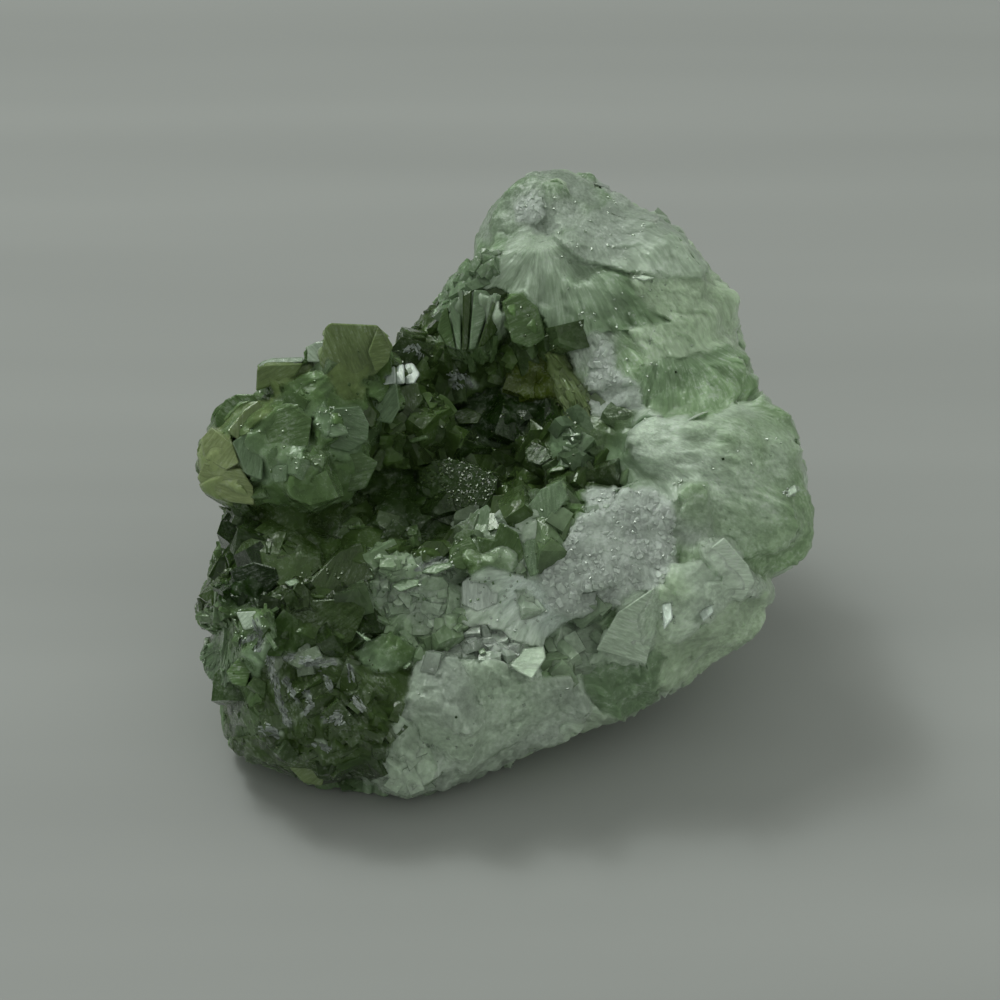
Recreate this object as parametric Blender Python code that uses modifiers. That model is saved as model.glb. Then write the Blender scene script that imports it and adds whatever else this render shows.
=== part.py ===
"""A hand-sized cluster of green prehnite, grown together in one piece.

The stone is a lumpy core with broken blocks, ledges and fans of tabular crystals fused to it,
an open pocket of dark crystals between its two high lobes, and a flat broken patch to rest on.
Places are given as the viewer of the front sees them, in millimetres right of, above and out
from the middle of the stone, and are turned into the stone's own frame, +Z up.
"""

import math
import random
from typing import NamedTuple

import bmesh
import bpy
from mathutils import Matrix, Vector
from mathutils.bvhtree import BVHTree

MM = 0.001

# Driving dimensions: how the front is looked at, and how high its middle is.
VIEW_ELEVATION = math.radians(35)
VIEW_DISTANCE = 260 * MM
VIEW_MIDDLE = Vector((0, 0, 16.6)) * MM

# How the growths sit on the core.
LOWEST_GROWTH = 1.5 * MM
BACK_LIMIT = -0.03
SLAB_FACE = 0.6
SLAB_TOWARD_VIEWER = 0.5
PLATE_CORNER = 0.24
CRUMB_HALF = (0.7, 1.5)
CRUMB_REACH = 22
EVEN_STEPS = (0.7548777, 0.5698403)

# Faceting of the fused solid.
CORE_VOXEL = 0.9 * MM
CORE_DETAIL = 0.11
FUSED_DETAIL = 0.64
SLAB_SIDES = 10
CRUMB_SIDES = 7
CRUMB_SITES = 84
BACK_AREA = 27 * MM * MM
GOLDEN_ANGLE = math.pi * (3 - math.sqrt(5))
SEED = 20


class Lump(NamedTuple):
    """A rounded mass of the core: middle and half axes as the viewer sees them, in mm."""

    name: str
    at: tuple
    half: tuple


class Slab(NamedTuple):
    """A broken slab on the surface that the viewer sees there: right and up, half axes, turn in
    degrees, how far its flat face stands proud, and how its face leans to the right and up."""

    name: str
    at: tuple
    half: tuple
    turn: float = 0.0
    proud: float = 0.5
    lean: tuple = (0.0, 0.0)
    flat: bool = True


class Fan(NamedTuple):
    """A sheaf of tabular crystals that spread from one root, as the viewer sees it, in mm.
    A root is right, up and out, or right, up and how deep under the surface that is seen there."""

    name: str
    root: tuple
    growth: tuple
    flat: tuple
    width: float
    length: float
    plates: int = 5
    thick: float = 0.8
    spread: float = 7.0


LUMPS = (
    Lump("left_lobe", (-15.0, 3.9, -1.6), (5.7, 5.2, 5.4)),
    Lump("left_lobe_top", (-11.3, 7.2, -1.6), (3.3, 3.6, 4.0)),
    Lump("low_left", (-13.6, -10.2, -1.2), (7.2, 8.6, 7.0)),
    Lump("waist", (-17.0, -3.5, -3.4), (3.2, 5.0, 4.4)),
    Lump("low_front", (-9.4, -14.4, 0.4), (8.8, 6.6, 6.0)),
    Lump("bottom_middle", (-0.8, -12.4, -0.4), (8.6, 6.6, 6.0)),
    Lump("lower_right", (10.2, -6.6, -1.8), (8.4, 6.8, 6.0)),
    Lump("right_lobe", (15.2, 0.8, -2.8), (6.5, 6.6, 6.4)),
    Lump("front_ridge", (2.6, -4.4, -1.0), (9.4, 4.6, 5.4)),
    Lump("left_ridge", (-7.4, -6.0, -1.2), (6.0, 4.4, 5.2)),
    Lump("crown", (4.6, 17.6, -13.6), (6.8, 5.8, 6.2)),
    Lump("high_face", (9.4, 12.2, -10.4), (7.4, 7.2, 6.6)),
    Lump("high_left", (0.8, 13.4, -11.0), (4.6, 5.2, 5.4)),
    Lump("shoulder_back", (11.6, 7.8, -8.6), (6.0, 5.6, 6.0)),
    Lump("saddle", (-3.2, 10.0, -10.6), (3.4, 3.6, 4.4)),
    Lump("middle", (0.0, 3.0, -12.0), (12.0, 8.5, 8.0)),
    Lump("belly", (-1.0, -2.0, -10.4), (16.0, 11.0, 9.6)),
    Lump("under_right", (8.0, -2.0, -8.0), (10.5, 8.0, 8.0)),
    Lump("back_base", (4.6, 4.4, -17.0), (9.0, 6.6, 6.6)),
    Lump("back_shoulder", (5.6, 10.5, -14.0), (6.8, 6.8, 6.0)),
)

SCOOPS = (
    Lump("pocket_top", (-2.2, 8.6, -2.2), (4.4, 4.6, 5.6)),
    Lump("pocket_middle", (-0.2, 3.6, -0.6), (5.6, 4.4, 5.4)),
    Lump("pocket_foot", (-5.4, 0.0, 1.6), (3.8, 3.0, 3.8)),
)

SLABS = (
    # Left lobe
    Slab("left_face", (-14.6, 4.8), (3.4, 2.6, 1.6), 10, 0.5, (-0.1, 0.2)),
    Slab("left_bulge", (-11.2, 2.0), (2.6, 3.0, 2.2), -10, 0.7, (0.2, 0.1), False),
    Slab("left_shelf", (-15.4, 0.6), (3.6, 1.6, 1.6), 0, 0.7, (0.0, 0.2)),
    Slab("left_knob_a", (-15.0, 2.4), (1.4, 1.3, 1.2), 20, 1.1, (0.3, 0.4)),
    Slab("left_knob_b", (-12.8, 5.4), (1.5, 1.3, 1.2), -15, 1.0, (-0.3, 0.3)),
    Slab("left_knob_c", (-17.2, 5.2), (1.6, 1.2, 1.2), 35, 0.8, (-0.2, 0.3)),
    Slab("left_under", (-13.0, -0.8), (2.8, 1.4, 1.6), 12, 0.5, (0.1, -0.2)),
    # Dark pocket
    Slab("glint_prism", (-7.9, 7.9), (1.7, 1.8, 2.2), -20, 2.2, (0.1, 1.0)),
    Slab("pocket_prism_a", (-8.2, 5.2), (1.3, 2.2, 2.2), 8, 2.0, (-0.3, 0.1)),
    Slab("pocket_prism_b", (-5.4, 5.6), (1.6, 1.9, 2.0), -30, 1.6, (0.3, 0.2)),
    Slab("pocket_prism_c", (-5.4, 9.4), (1.6, 1.9, 2.0), 25, 1.8, (-0.1, 0.5)),
    Slab("pocket_prism_d", (-7.0, 2.6), (1.5, 1.3, 1.8), 15, 1.0, (0.2, 0.3)),
    Slab("pocket_sheet", (1.8, 11.6), (1.6, 3.0, 1.6), -5, 1.2, (-0.1, 0.1), False),
    Slab("pocket_glitter", (3.0, 3.0), (1.5, 1.3, 1.6), 30, 1.4, (-0.8, 0.3)),
    Slab("pocket_bead_a", (5.6, 5.9), (1.0, 0.9, 1.2), 10, 1.0, (0.5, 0.4)),
    Slab("pocket_bead_b", (5.3, 3.6), (1.0, 1.2, 1.2), 40, 0.9, (0.2, 0.1)),
    Slab("pocket_bead_c", (4.6, 1.6), (1.4, 0.8, 1.2), -20, 0.9, (0.0, 0.5)),
    Slab("pocket_floor_a", (-6.6, -1.4), (2.2, 1.8, 1.6), 15, 0.8, (0.2, 0.5)),
    Slab("pocket_floor_b", (1.4, 0.4), (1.8, 1.6, 1.8), -20, 1.0, (-0.3, 0.6)),
    # High lobe at the back
    Slab("crown_knob", (1.6, 20.2), (3.0, 2.4, 2.2), 12, 0.8, (-0.3, 0.1)),
    Slab("crown_lip", (3.2, 21.4), (2.0, 1.0, 1.5), 5, 0.6, (0.0, 0.2)),
    Slab("crown_mass", (6.8, 18.8), (4.4, 2.8, 1.8), -24, 0.7, (0.1, 0.4)),
    Slab("ledge_face", (1.6, 15.0), (3.8, 3.0, 1.8), -38, 1.0, (-0.2, -0.1)),
    Slab("high_face_left", (5.4, 12.0), (3.2, 3.4, 1.6), 12, 0.6, (0.1, 0.0)),
    Slab("high_face_right", (10.2, 13.0), (3.6, 2.8, 1.6), -18, 0.5, (0.1, 0.1)),
    Slab("shoulder", (12.4, 16.0), (3.0, 2.0, 1.6), -38, 0.6, (0.2, 0.4)),
    Slab("shoulder_knob", (16.0, 13.0), (1.3, 1.6, 1.6), 10, 0.9, (0.6, 0.1)),
    Slab("green_wedge", (13.6, 8.2), (3.4, 1.7, 1.6), 14, 0.7, (0.0, -0.2)),
    Slab("green_wedge_tip", (10.2, 8.4), (1.8, 1.6, 1.4), -20, 0.5, (-0.2, -0.1)),
    Slab("olive_step", (8.0, 5.4), (1.9, 1.8, 1.6), -8, 0.9, (-0.2, 0.1)),
    Slab("white_step", (6.6, 8.9), (1.9, 1.6, 1.5), 35, 0.9, (0.0, 0.3)),
    Slab("back_spur", (-2.6, 13.4), (1.5, 2.6, 1.6), -38, 0.4, (-0.1, 0.1)),
    # Right lobe
    Slab("right_face", (15.8, 4.0), (3.2, 2.4, 1.6), -20, 0.4, (0.1, 0.2)),
    Slab("right_inner", (11.2, 4.0), (3.0, 1.8, 1.6), -14, 0.7, (0.0, 0.3)),
    Slab("right_front", (14.4, -0.4), (2.6, 2.2, 1.6), 15, 0.6, (0.2, -0.1)),
    Slab("right_low", (18.2, -1.4), (2.2, 2.6, 1.6), 5, 0.5, (0.3, 0.0)),
    # White broken face and the lower right
    Slab("white_face", (7.4, -3.2), (4.3, 2.8, 1.6), 24, 1.2, (0.1, 0.25)),
    Slab("white_face_tip", (10.2, -0.6), (2.2, 1.9, 1.5), -25, 1.0, (0.2, 0.2)),
    Slab("white_bridge", (2.0, -7.2), (3.2, 1.4, 1.6), 18, 1.0, (0.0, 0.3)),
    Slab("pit_wall", (4.9, -10.6), (1.8, 1.6, 1.4), 0, 0.2, (0.2, 0.0)),
    Slab("rounded_pale_a", (12.4, -6.4), (2.2, 2.0, 1.8), 20, 1.0, (0.0, 0.0), False),
    Slab("rounded_pale_b", (15.2, -4.4), (2.1, 1.9, 1.7), -20, 0.8, (0.3, 0.1)),
    Slab("lower_green", (15.4, -8.0), (2.8, 1.7, 1.6), 38, 0.5, (0.2, -0.2)),
    Slab("smooth_green", (9.8, -12.2), (2.9, 1.6, 1.6), 22, 0.6, (0.1, -0.2), False),
    Slab("right_edge", (12.8, -12.0), (1.9, 1.4, 1.4), 38, 0.5, (0.2, -0.3)),
    # Bottom middle
    Slab("white_lump", (-3.9, -13.8), (2.4, 3.0, 2.2), 0, 1.5, (0.0, 0.0), False),
    Slab("low_pale", (1.8, -13.0), (3.8, 2.8, 1.8), -15, 0.8, (0.1, -0.1)),
    Slab("low_pale_foot", (-0.8, -16.4), (3.6, 1.6, 1.6), 14, 0.6, (0.0, -0.3)),
    Slab("low_tip", (-6.6, -18.6), (2.8, 1.4, 1.6), 5, 0.8, (0.0, -0.3)),
    Slab("pale_step", (0.8, -10.0), (2.0, 1.2, 1.5), 30, 0.9, (-0.1, 0.5)),
    # Ridge between the pocket and the lower left
    Slab("ridge_a", (-5.8, -5.0), (2.0, 1.5, 1.8), 20, 1.2, (0.1, 0.5)),
    Slab("ridge_b", (-10.4, -5.2), (2.2, 1.8, 1.8), -25, 1.0, (-0.1, 0.4)),
    Slab("ridge_c", (-0.8, -4.2), (2.0, 1.4, 1.8), -15, 1.1, (0.2, 0.5)),
    Slab("ridge_d", (2.2, -1.8), (1.5, 1.6, 1.8), 35, 1.0, (-0.2, 0.3)),
    Slab("ridge_e", (-3.2, -7.8), (2.2, 1.7, 1.7), 5, 0.9, (0.0, 0.2)),
    Slab("ridge_f", (-7.6, -9.4), (2.1, 1.9, 1.8), -20, 0.8, (0.2, 0.0)),
    # Lower left
    Slab("dark_glass", (-12.8, -8.6), (2.8, 2.5, 1.8), 10, 1.0, (0.0, 0.2)),
    Slab("left_waist", (-18.4, -6.0), (1.7, 2.4, 1.8), 10, 0.8, (-0.3, 0.2)),
    Slab("dark_ledge", (-15.8, -4.0), (2.2, 1.4, 1.8), -20, 1.0, (0.1, 0.5)),
    Slab("low_left_mass", (-15.8, -14.2), (2.9, 2.7, 1.8), 15, 0.7, (-0.2, 0.0)),
    Slab("low_left_front", (-11.2, -13.6), (2.8, 2.6, 1.8), -10, 0.7, (0.1, 0.1)),
    Slab("low_left_foot", (-13.2, -17.6), (2.8, 1.4, 1.6), 0, 0.6, (0.0, -0.2)),
    Slab("low_join", (-8.2, -16.0), (2.0, 1.6, 1.6), 25, 0.6, (0.1, 0.0)),
    Slab("foot_left", (-17.4, -17.0), (2.6, 1.7, 1.6), 40, 0.5, (-0.2, -0.2)),
    Slab("foot_front", (-9.6, -19.0), (2.4, 1.2, 1.5), -8, 0.5, (0.0, -0.3)),
    Slab("foot_right", (3.6, -17.0), (2.8, 1.3, 1.5), 18, 0.5, (0.1, -0.3)),
)

OUTLINE_FANS = (
    # Tabs of the left lobe, which stand over the outline
    Fan("crown_tab", (-10.0, 7.4, 0.4), (0.0, 1, 0.05), (0.12, -0.15, 1), 4.6, 4.9, 5, 0.9, 6),
    Fan("small_tab", (-15.4, 6.4, 0.4), (0.0, 1, 0.1), (-0.1, -0.2, 1), 3.1, 3.9, 4, 0.8, 7),
    Fan("corner_tab", (-17.9, 4.6, 0.0), (-0.35, 1, 0.0), (-0.4, 0.1, 1), 3.0, 3.2, 4, 0.8, 8),
    Fan("rim_sheaf", (-17.8, 1.4, 0.0), (-0.6, 0.75, 0.4), (-1, -0.6, 0.3), 4.2, 3.9, 6, 0.8, 6),
    Fan("rim_low_tab", (-17.4, 0.6, 0.6), (-0.9, -0.45, 0.2), (0.1, 0.1, 1), 2.4, 3.0, 3, 0.8, 8),
    Fan("front_sheaf", (-13.4, 0.8, 3.2), (0.1, 0.25, 1), (0.2, 1, -0.2), 3.2, 3.4, 5, 0.7, 8),
    # Columns of the right lobe, which end in a bumpy rim
    Fan("rim_fan_a", (16.6, 4.4, -4.6), (0.8, 0.3, 0.1), (-0.35, 0.8, 0.3), 4.2, 4.6, 5, 0.9, 8),
    Fan("rim_fan_b", (17.0, 1.2, -3.4), (1, -0.05, 0.2), (0.1, 1, 0.1), 4.4, 4.7, 5, 0.9, 8),
    Fan("rim_fan_c", (16.8, -2.0, -3.0), (0.95, -0.3, 0.1), (0.3, 0.9, 0.2), 4.2, 4.6, 5, 0.9, 8),
)

FACE_FANS = (
    # Dark pocket
    Fan("edge_on_fan", (-2.2, 10.0, 2.6), (-0.05, 1, 0.75), (1, 0.05, 0.1), 3.4, 4.6, 8, 0.6, 8),
    Fan("sparkle_barrel", (-3.2, 0.2, 2.8), (0.05, 0.8, 0.75), (1, 0.0, 0.1), 4.0, 4.6, 8, 0.75, 7),
    Fan("olive_wall", (5.0, 8.4, 2.4), (-0.6, -0.4, 0.8), (0.8, -0.35, 0.5), 3.6, 4.0, 6, 0.6, 5),
    Fan("glint_fan", (-6.6, 6.6, 2.2), (-0.2, 0.7, 0.8), (0.9, 0.3, 0.1), 2.8, 4.2, 5, 0.6, 7),
    Fan("deep_fan", (0.2, 5.0, 2.4), (0.1, 0.5, 0.85), (0.5, 0.8, -0.4), 3.2, 3.8, 5, 0.7, 8),
    # High lobe
    Fan("ledge_fan", (8.2, 14.8, 3.0), (-0.5, 0.1, 0.8), (0.3, 1, 0.1), 4.6, 4.2, 5, 0.9, 7),
    Fan("shoulder_fan", (13.4, 11.4, 3.2), (0.9, 0.2, 0.5), (0.2, -0.8, 0.6), 4.2, 4.6, 5, 0.9, 8),
    Fan("column_fan", (15.0, 2.2, 2.8), (0.55, 0.2, 0.9), (-0.4, 0.9, 0.0), 3.8, 4.0, 5, 0.8, 8),
    # Lower right
    Fan("triangle_fan", (9.4, -9.4, 3.2), (-0.1, -0.25, 1), (1, 0.4, 0.2), 4.2, 4.4, 5, 0.9, 9),
    Fan("scallop_fan", (12.8, -9.2, 3.0), (0.3, -0.35, 0.9), (0.8, 0.4, -0.1), 3.2, 4.0, 5, 0.8, 9),
    # Ridge and lower left
    Fan("ridge_fan_a", (-5.6, -6.2, 3.0), (0.05, 0.65, 0.85), (1, 0.1, 0.0), 3.4, 4.6, 6, 0.7, 8),
    Fan("ridge_fan_b", (-9.4, -6.4, 3.0), (-0.1, 0.75, 0.7), (0.9, 0.2, -0.1), 3.4, 4.8, 5, 0.8, 8),
    Fan("ridge_fan_c", (1.4, -4.0, 3.0), (0.1, 0.75, 0.65), (0.7, -0.5, 0.4), 3.0, 4.4, 5, 0.8, 8),
    Fan("striped_fan", (-17.8, -11.0, 2.8), (-0.2, 0.35, 0.9), (0.35, 1, -0.3), 4.0, 4.2, 6, 0.6, 7),
    Fan("left_sheaf", (-17.8, -3.6, 2.6), (-0.6, 0.3, 0.6), (0.7, 0.5, 0.4), 3.2, 3.6, 4, 0.8, 8),
    Fan("low_fan", (-12.6, -14.6, 3.2), (0.0, 0.1, 1), (0.9, -0.35, 0.1), 3.6, 4.2, 6, 0.7, 9),
)


def seen(right, up, out):
    """The point that the viewer sees so many mm right of, above and out from the middle."""
    nearer = 1 - out * MM / VIEW_DISTANCE
    return VIEW_MIDDLE + facing(right * nearer, up * nearer, out) * MM


def facing(right, up, out):
    """A direction as the viewer sees it, turned into the stone's frame."""
    sine = math.sin(VIEW_ELEVATION)
    cosine = math.cos(VIEW_ELEVATION)
    return Vector((right, up * sine - out * cosine, up * cosine + out * sine))


def view_axes(turn):
    """Right, up and out as the columns of a matrix, turned about the line of sight."""
    axes = Matrix([facing(1, 0, 0), facing(0, 1, 0), facing(0, 0, 1)]).transposed()
    return axes @ Matrix.Rotation(turn, 3, "Z")


def clear_scene():
    for obj in list(bpy.data.objects):
        bpy.data.objects.remove(obj, do_unlink=True)


def new_collection(name):
    collection = bpy.data.collections.new(name)
    bpy.context.scene.collection.children.link(collection)
    return collection


def add_object(name, bm, collection, guide=True):
    """A mesh object from a bmesh; a guide is left out of the build."""
    mesh = bpy.data.meshes.new(name)
    bm.to_mesh(mesh)
    bm.free()
    obj = bpy.data.objects.new(name, mesh)
    collection.objects.link(obj)
    if guide:
        obj.hide_render = True
        obj.display_type = "WIRE"
    return obj


def baked(obj, name):
    """A new mesh that holds what the object's modifiers make."""
    bpy.context.view_layer.update()
    graph = bpy.context.evaluated_depsgraph_get()
    mesh = bpy.data.meshes.new_from_object(obj.evaluated_get(graph))
    mesh.name = name
    return mesh


def lumps_object(name, lumps, collection):
    """Ellipsoids in one object, still overlapping."""
    bm = bmesh.new()
    axes = view_axes(0).to_4x4()
    for lump in lumps:
        size = Matrix.Diagonal((*(h * MM for h in lump.half), 1))
        place = Matrix.Translation(seen(*lump.at)) @ axes
        bmesh.ops.create_icosphere(bm, subdivisions=4, radius=1, matrix=place @ size)
    return add_object(name, bm, collection)


def add_melt(obj, name):
    """Melts overlapping bodies into one skin."""
    melt = obj.modifiers.new(name, "REMESH")
    melt.mode = "VOXEL"
    melt.voxel_size = CORE_VOXEL


def fused_core(collection):
    """The lumps melted into one rounded mass, with the pocket scooped out of it."""
    core = lumps_object("core", LUMPS, collection)
    scoop = lumps_object("pocket_scoop", SCOOPS, collection)
    add_melt(core, "melt")
    add_melt(scoop, "melt")
    cut = core.modifiers.new("pocket", "BOOLEAN")
    cut.operation = "DIFFERENCE"
    cut.object = scoop
    add_melt(core, "even")
    thin = core.modifiers.new("facets", "DECIMATE")
    thin.ratio = CORE_DETAIL
    return core


def sighted(surface, right, up):
    """Where the viewer's line of sight meets the surface, and the surface's normal there."""
    eye = VIEW_MIDDLE + facing(0, 0, 1) * VIEW_DISTANCE
    spot, normal, _, _ = surface.ray_cast(eye, (seen(right, up, 0) - eye).normalized())
    return spot, normal


def block_mesh(half, sides, flat, chance):
    """A convex block with broken faces around an ellipsoid of these half axes.
    A flat one has a wide face across its third axis."""
    bm = bmesh.new()
    bmesh.ops.create_cube(bm, size=3 * max(half))
    turn = chance.uniform(0, 2 * math.pi)
    cuts = []
    if flat:
        cuts.append((Vector((0, 0, 1)), SLAB_FACE))
    for i in range(sides):
        height = 1 - 2 * (i + 0.5) / sides
        around = turn + i * GOLDEN_ANGLE + chance.uniform(-0.3, 0.3)
        ring = math.sqrt(1 - height * height)
        normal = Vector((ring * math.cos(around), ring * math.sin(around), height))
        cuts.append((normal, chance.uniform(0.8, 1.0)))
    for normal, share in cuts:
        reach = math.sqrt(sum((h * n) ** 2 for h, n in zip(half, normal))) * share
        cut = bmesh.ops.bisect_plane(
            bm, geom=bm.verts[:] + bm.edges[:] + bm.faces[:],
            plane_co=normal * reach, plane_no=normal, clear_outer=True,
        )
        rim = [e for e in cut["geom_cut"] if isinstance(e, bmesh.types.BMEdge)]
        if len(rim) > 2:
            bmesh.ops.contextual_create(bm, geom=rim)
    bmesh.ops.recalc_face_normals(bm, faces=bm.faces[:])
    return bm


def lay_block(name, spot, normal, up, half, sides, flat, proud, collection, chance):
    """A block whose third axis lies along the normal and whose top stands proud of the spot."""
    across = up.cross(normal).normalized()
    axes = Matrix([across, normal.cross(across), normal]).transposed().to_4x4()
    sunk = (half[2] * (SLAB_FACE if flat else 1.0) - proud) * MM
    bm = block_mesh([h * MM for h in half], sides, flat, chance)
    place = Matrix.Translation(spot - normal * sunk) @ axes
    bmesh.ops.transform(bm, matrix=place, verts=bm.verts[:])
    add_object(name, bm, collection)


def add_slab(slab, surface, collection, chance):
    spot, normal = sighted(surface, *slab.at)
    lean = facing(slab.lean[0], slab.lean[1], 0)
    normal = (normal + SLAB_TOWARD_VIEWER * facing(0, 0, 1) + lean).normalized()
    turn = math.radians(slab.turn)
    up = facing(-math.sin(turn), math.cos(turn), 0)
    lay_block(
        slab.name, spot, normal, up, slab.half, SLAB_SIDES, slab.flat, slab.proud, collection, chance
    )


def plate_mesh(width, thick, length):
    """A crystal tablet that stands on its root at the origin, with its corners cut."""
    bm = bmesh.new()
    size = Matrix.Diagonal((width, thick, length, 1))
    place = Matrix.Translation((0, 0, length / 2))
    bmesh.ops.create_cube(bm, size=1, matrix=place @ size)
    corners = [
        e for e in bm.edges
        if abs(e.verts[0].co.y - e.verts[1].co.y) > 0.9 * thick and e.verts[0].co.z > 0.9 * length
    ]
    bmesh.ops.bevel(bm, geom=corners, offset=PLATE_CORNER * width, segments=1, affect="EDGES")
    return bm


def add_fan(name, root, growth, flat, size, collection, chance):
    """A sheaf: tablets side by side, each leaning a little more than the last."""
    width, length, plates, thick, spread = size
    growth = growth.normalized()
    across = flat.cross(growth).normalized()
    axes = Matrix([across, growth.cross(across), growth]).transposed().to_4x4()
    for i in range(plates):
        lean = i - (plates - 1) / 2
        bm = plate_mesh(
            width * (1 - 0.05 * abs(lean)) * chance.uniform(0.85, 1.05) * MM,
            thick * 1.04 * MM,
            length * (1 - 0.02 * lean * lean) * chance.uniform(0.92, 1.03) * MM,
        )
        aside = Vector((chance.uniform(-0.06, 0.06) * width, lean * thick * 0.45, 0)) * MM
        tilt = Matrix.Rotation(-lean * math.radians(spread), 4, "X")
        place = Matrix.Translation(root) @ axes @ Matrix.Translation(aside) @ tilt
        bmesh.ops.transform(bm, matrix=place, verts=bm.verts[:])
        add_object(f"{name}_{i}", bm, collection)


def grow_front(surface, collection, chance):
    """The slabs and fans of the side that the viewer sees."""
    for slab in SLABS:
        add_slab(slab, surface, collection, chance)
    for fan in OUTLINE_FANS + FACE_FANS:
        if fan in OUTLINE_FANS:
            root = seen(*fan.root)
        else:
            spot, normal = sighted(surface, *fan.root[:2])
            root = spot - normal * fan.root[2] * MM
        size = (fan.width, fan.length, fan.plates, fan.thick, fan.spread)
        add_fan(fan.name, root, facing(*fan.growth), facing(*fan.flat), size, collection, chance)


def any_way(chance):
    return Vector((chance.uniform(-1, 1), chance.uniform(-1, 1), chance.uniform(-1, 1)))


def grow_crumbs(surface, collection, chance):
    """Small broken crystals between the slabs of the front, evenly spread as the viewer sees them."""
    for i in range(CRUMB_SITES):
        right = CRUMB_REACH * (2 * ((0.5 + i * EVEN_STEPS[0]) % 1) - 1)
        up = CRUMB_REACH * (2 * ((0.5 + i * EVEN_STEPS[1]) % 1) - 1)
        spot, normal = sighted(surface, right, up)
        if spot is None or spot.z < LOWEST_GROWTH:
            continue
        half = [chance.uniform(*CRUMB_HALF) for _ in range(3)]
        way = (normal + 0.6 * any_way(chance)).normalized()
        lay_block(
            f"crumb_{i}", spot, way, any_way(chance), half, CRUMB_SIDES, False,
            0.5 * half[2], collection, chance,
        )


def grow_back(core_mesh, collection, chance):
    """Slabs and fans all over what the viewer of the front can't see, one to so much area."""
    gone = 0
    grown = 0
    for face in core_mesh.polygons:
        gone += face.area
        if gone < BACK_AREA:
            continue
        gone -= BACK_AREA
        spot = face.center
        normal = face.normal
        if spot.z < LOWEST_GROWTH or normal.dot(facing(0, 0, 1)) > BACK_LIMIT:
            continue
        grown += 1
        if grown % 5 == 0:
            size = (chance.uniform(3.6, 4.8), chance.uniform(4.0, 4.6), 4, 1.1, 9)
            root = spot - normal * 3.2 * MM
            add_fan(f"back_fan_{grown}", root, normal, any_way(chance), size, collection, chance)
        else:
            half = [chance.uniform(2.2, 3.8), chance.uniform(2.0, 3.2), 2.0]
            side = (normal + 0.3 * any_way(chance)).normalized()
            lay_block(
                f"back_slab_{grown}", spot, side, any_way(chance), half, SLAB_SIDES, grown % 3 > 0,
                chance.uniform(0.3, 0.8), collection, chance,
            )


def flat_rest(collection):
    """A box whose top is the resting plane, to cut the underside off flat."""
    bm = bmesh.new()
    depth = 20 * MM
    place = Matrix.Translation((0, 0, -depth / 2))
    bmesh.ops.create_cube(bm, size=1, matrix=place @ Matrix.Diagonal((0.1, 0.1, depth, 1)))
    return add_object("rest_cutter", bm, collection)


def outer_shell(mesh):
    """Keeps the stone's outer surface and drops gaps sealed inside it."""
    bm = bmesh.new()
    bm.from_mesh(mesh)
    left = set(bm.verts)
    shells = []
    while left:
        shell = set()
        reach = [left.pop()]
        while reach:
            vert = reach.pop()
            shell.add(vert)
            near = {e.other_vert(vert) for e in vert.link_edges} & left
            left -= near
            reach.extend(near)
        shells.append(shell)
    shells.sort(key=len)
    for shell in shells[:-1]:
        bmesh.ops.delete(bm, geom=list(shell), context="VERTS")
    bm.to_mesh(mesh)
    bm.free()


def centre(mesh):
    """Puts the origin on the resting plane, at the middle of the stone's box."""
    for axis in range(2):
        reach = [vert.co[axis] for vert in mesh.vertices]
        middle = (min(reach) + max(reach)) / 2
        for vert in mesh.vertices:
            vert.co[axis] -= middle


def stone_material():
    material = bpy.data.materials.new("prehnite")
    material.use_nodes = True
    shader = material.node_tree.nodes["Principled BSDF"]
    shader.inputs["Base Color"].default_value = (0.20, 0.29, 0.17, 1)
    shader.inputs["Roughness"].default_value = 0.35
    shader.inputs["Metallic"].default_value = 0.0
    return material


def main():
    clear_scene()
    stone = new_collection("prehnite")
    guides = new_collection("guides")
    growths = new_collection("growths")
    chance = random.Random(SEED)

    core = fused_core(guides)
    core_mesh = baked(core, "core_shape")
    bm = bmesh.new()
    bm.from_mesh(core_mesh)
    surface = BVHTree.FromBMesh(bm)
    bm.free()
    grow_front(surface, growths, chance)
    grow_crumbs(surface, growths, chance)
    grow_back(core_mesh, growths, chance)

    grown = core.modifiers.new("grown_together", "BOOLEAN")
    grown.operation = "UNION"
    grown.operand_type = "COLLECTION"
    grown.collection = growths
    plain = core.modifiers.new("plain", "DECIMATE")
    plain.ratio = FUSED_DETAIL
    level = core.modifiers.new("rest", "BOOLEAN")
    level.operation = "DIFFERENCE"
    level.object = flat_rest(guides)

    mesh = baked(core, "prehnite_cluster")
    outer_shell(mesh)
    centre(mesh)
    mesh.materials.clear()
    mesh.materials.append(stone_material())
    cluster = bpy.data.objects.new("prehnite_cluster", mesh)
    stone.objects.link(cluster)
    core.modifiers.clear()


main()
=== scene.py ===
"""Looks of a small cluster of green prehnite on a pale table.

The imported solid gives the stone's form. The stone's skin takes it over: it is melted into a
fine even mesh and cut into patches of crystal growth, each with its own relief. Crusts of
separate crystals are rooted in it: large ones, small broken ones, white needles and tiny
faces that glitter. All are dressed in a translucent green finish. Lengths in the lists are in
millimetres, and spots on the front are in steps of the viewer's grid, across and down from
its top left corner.
"""

import itertools
import logging
import math
from dataclasses import dataclass, field
from enum import Enum

import bpy
import numpy as np
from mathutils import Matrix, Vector
from mathutils.bvhtree import BVHTree


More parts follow.
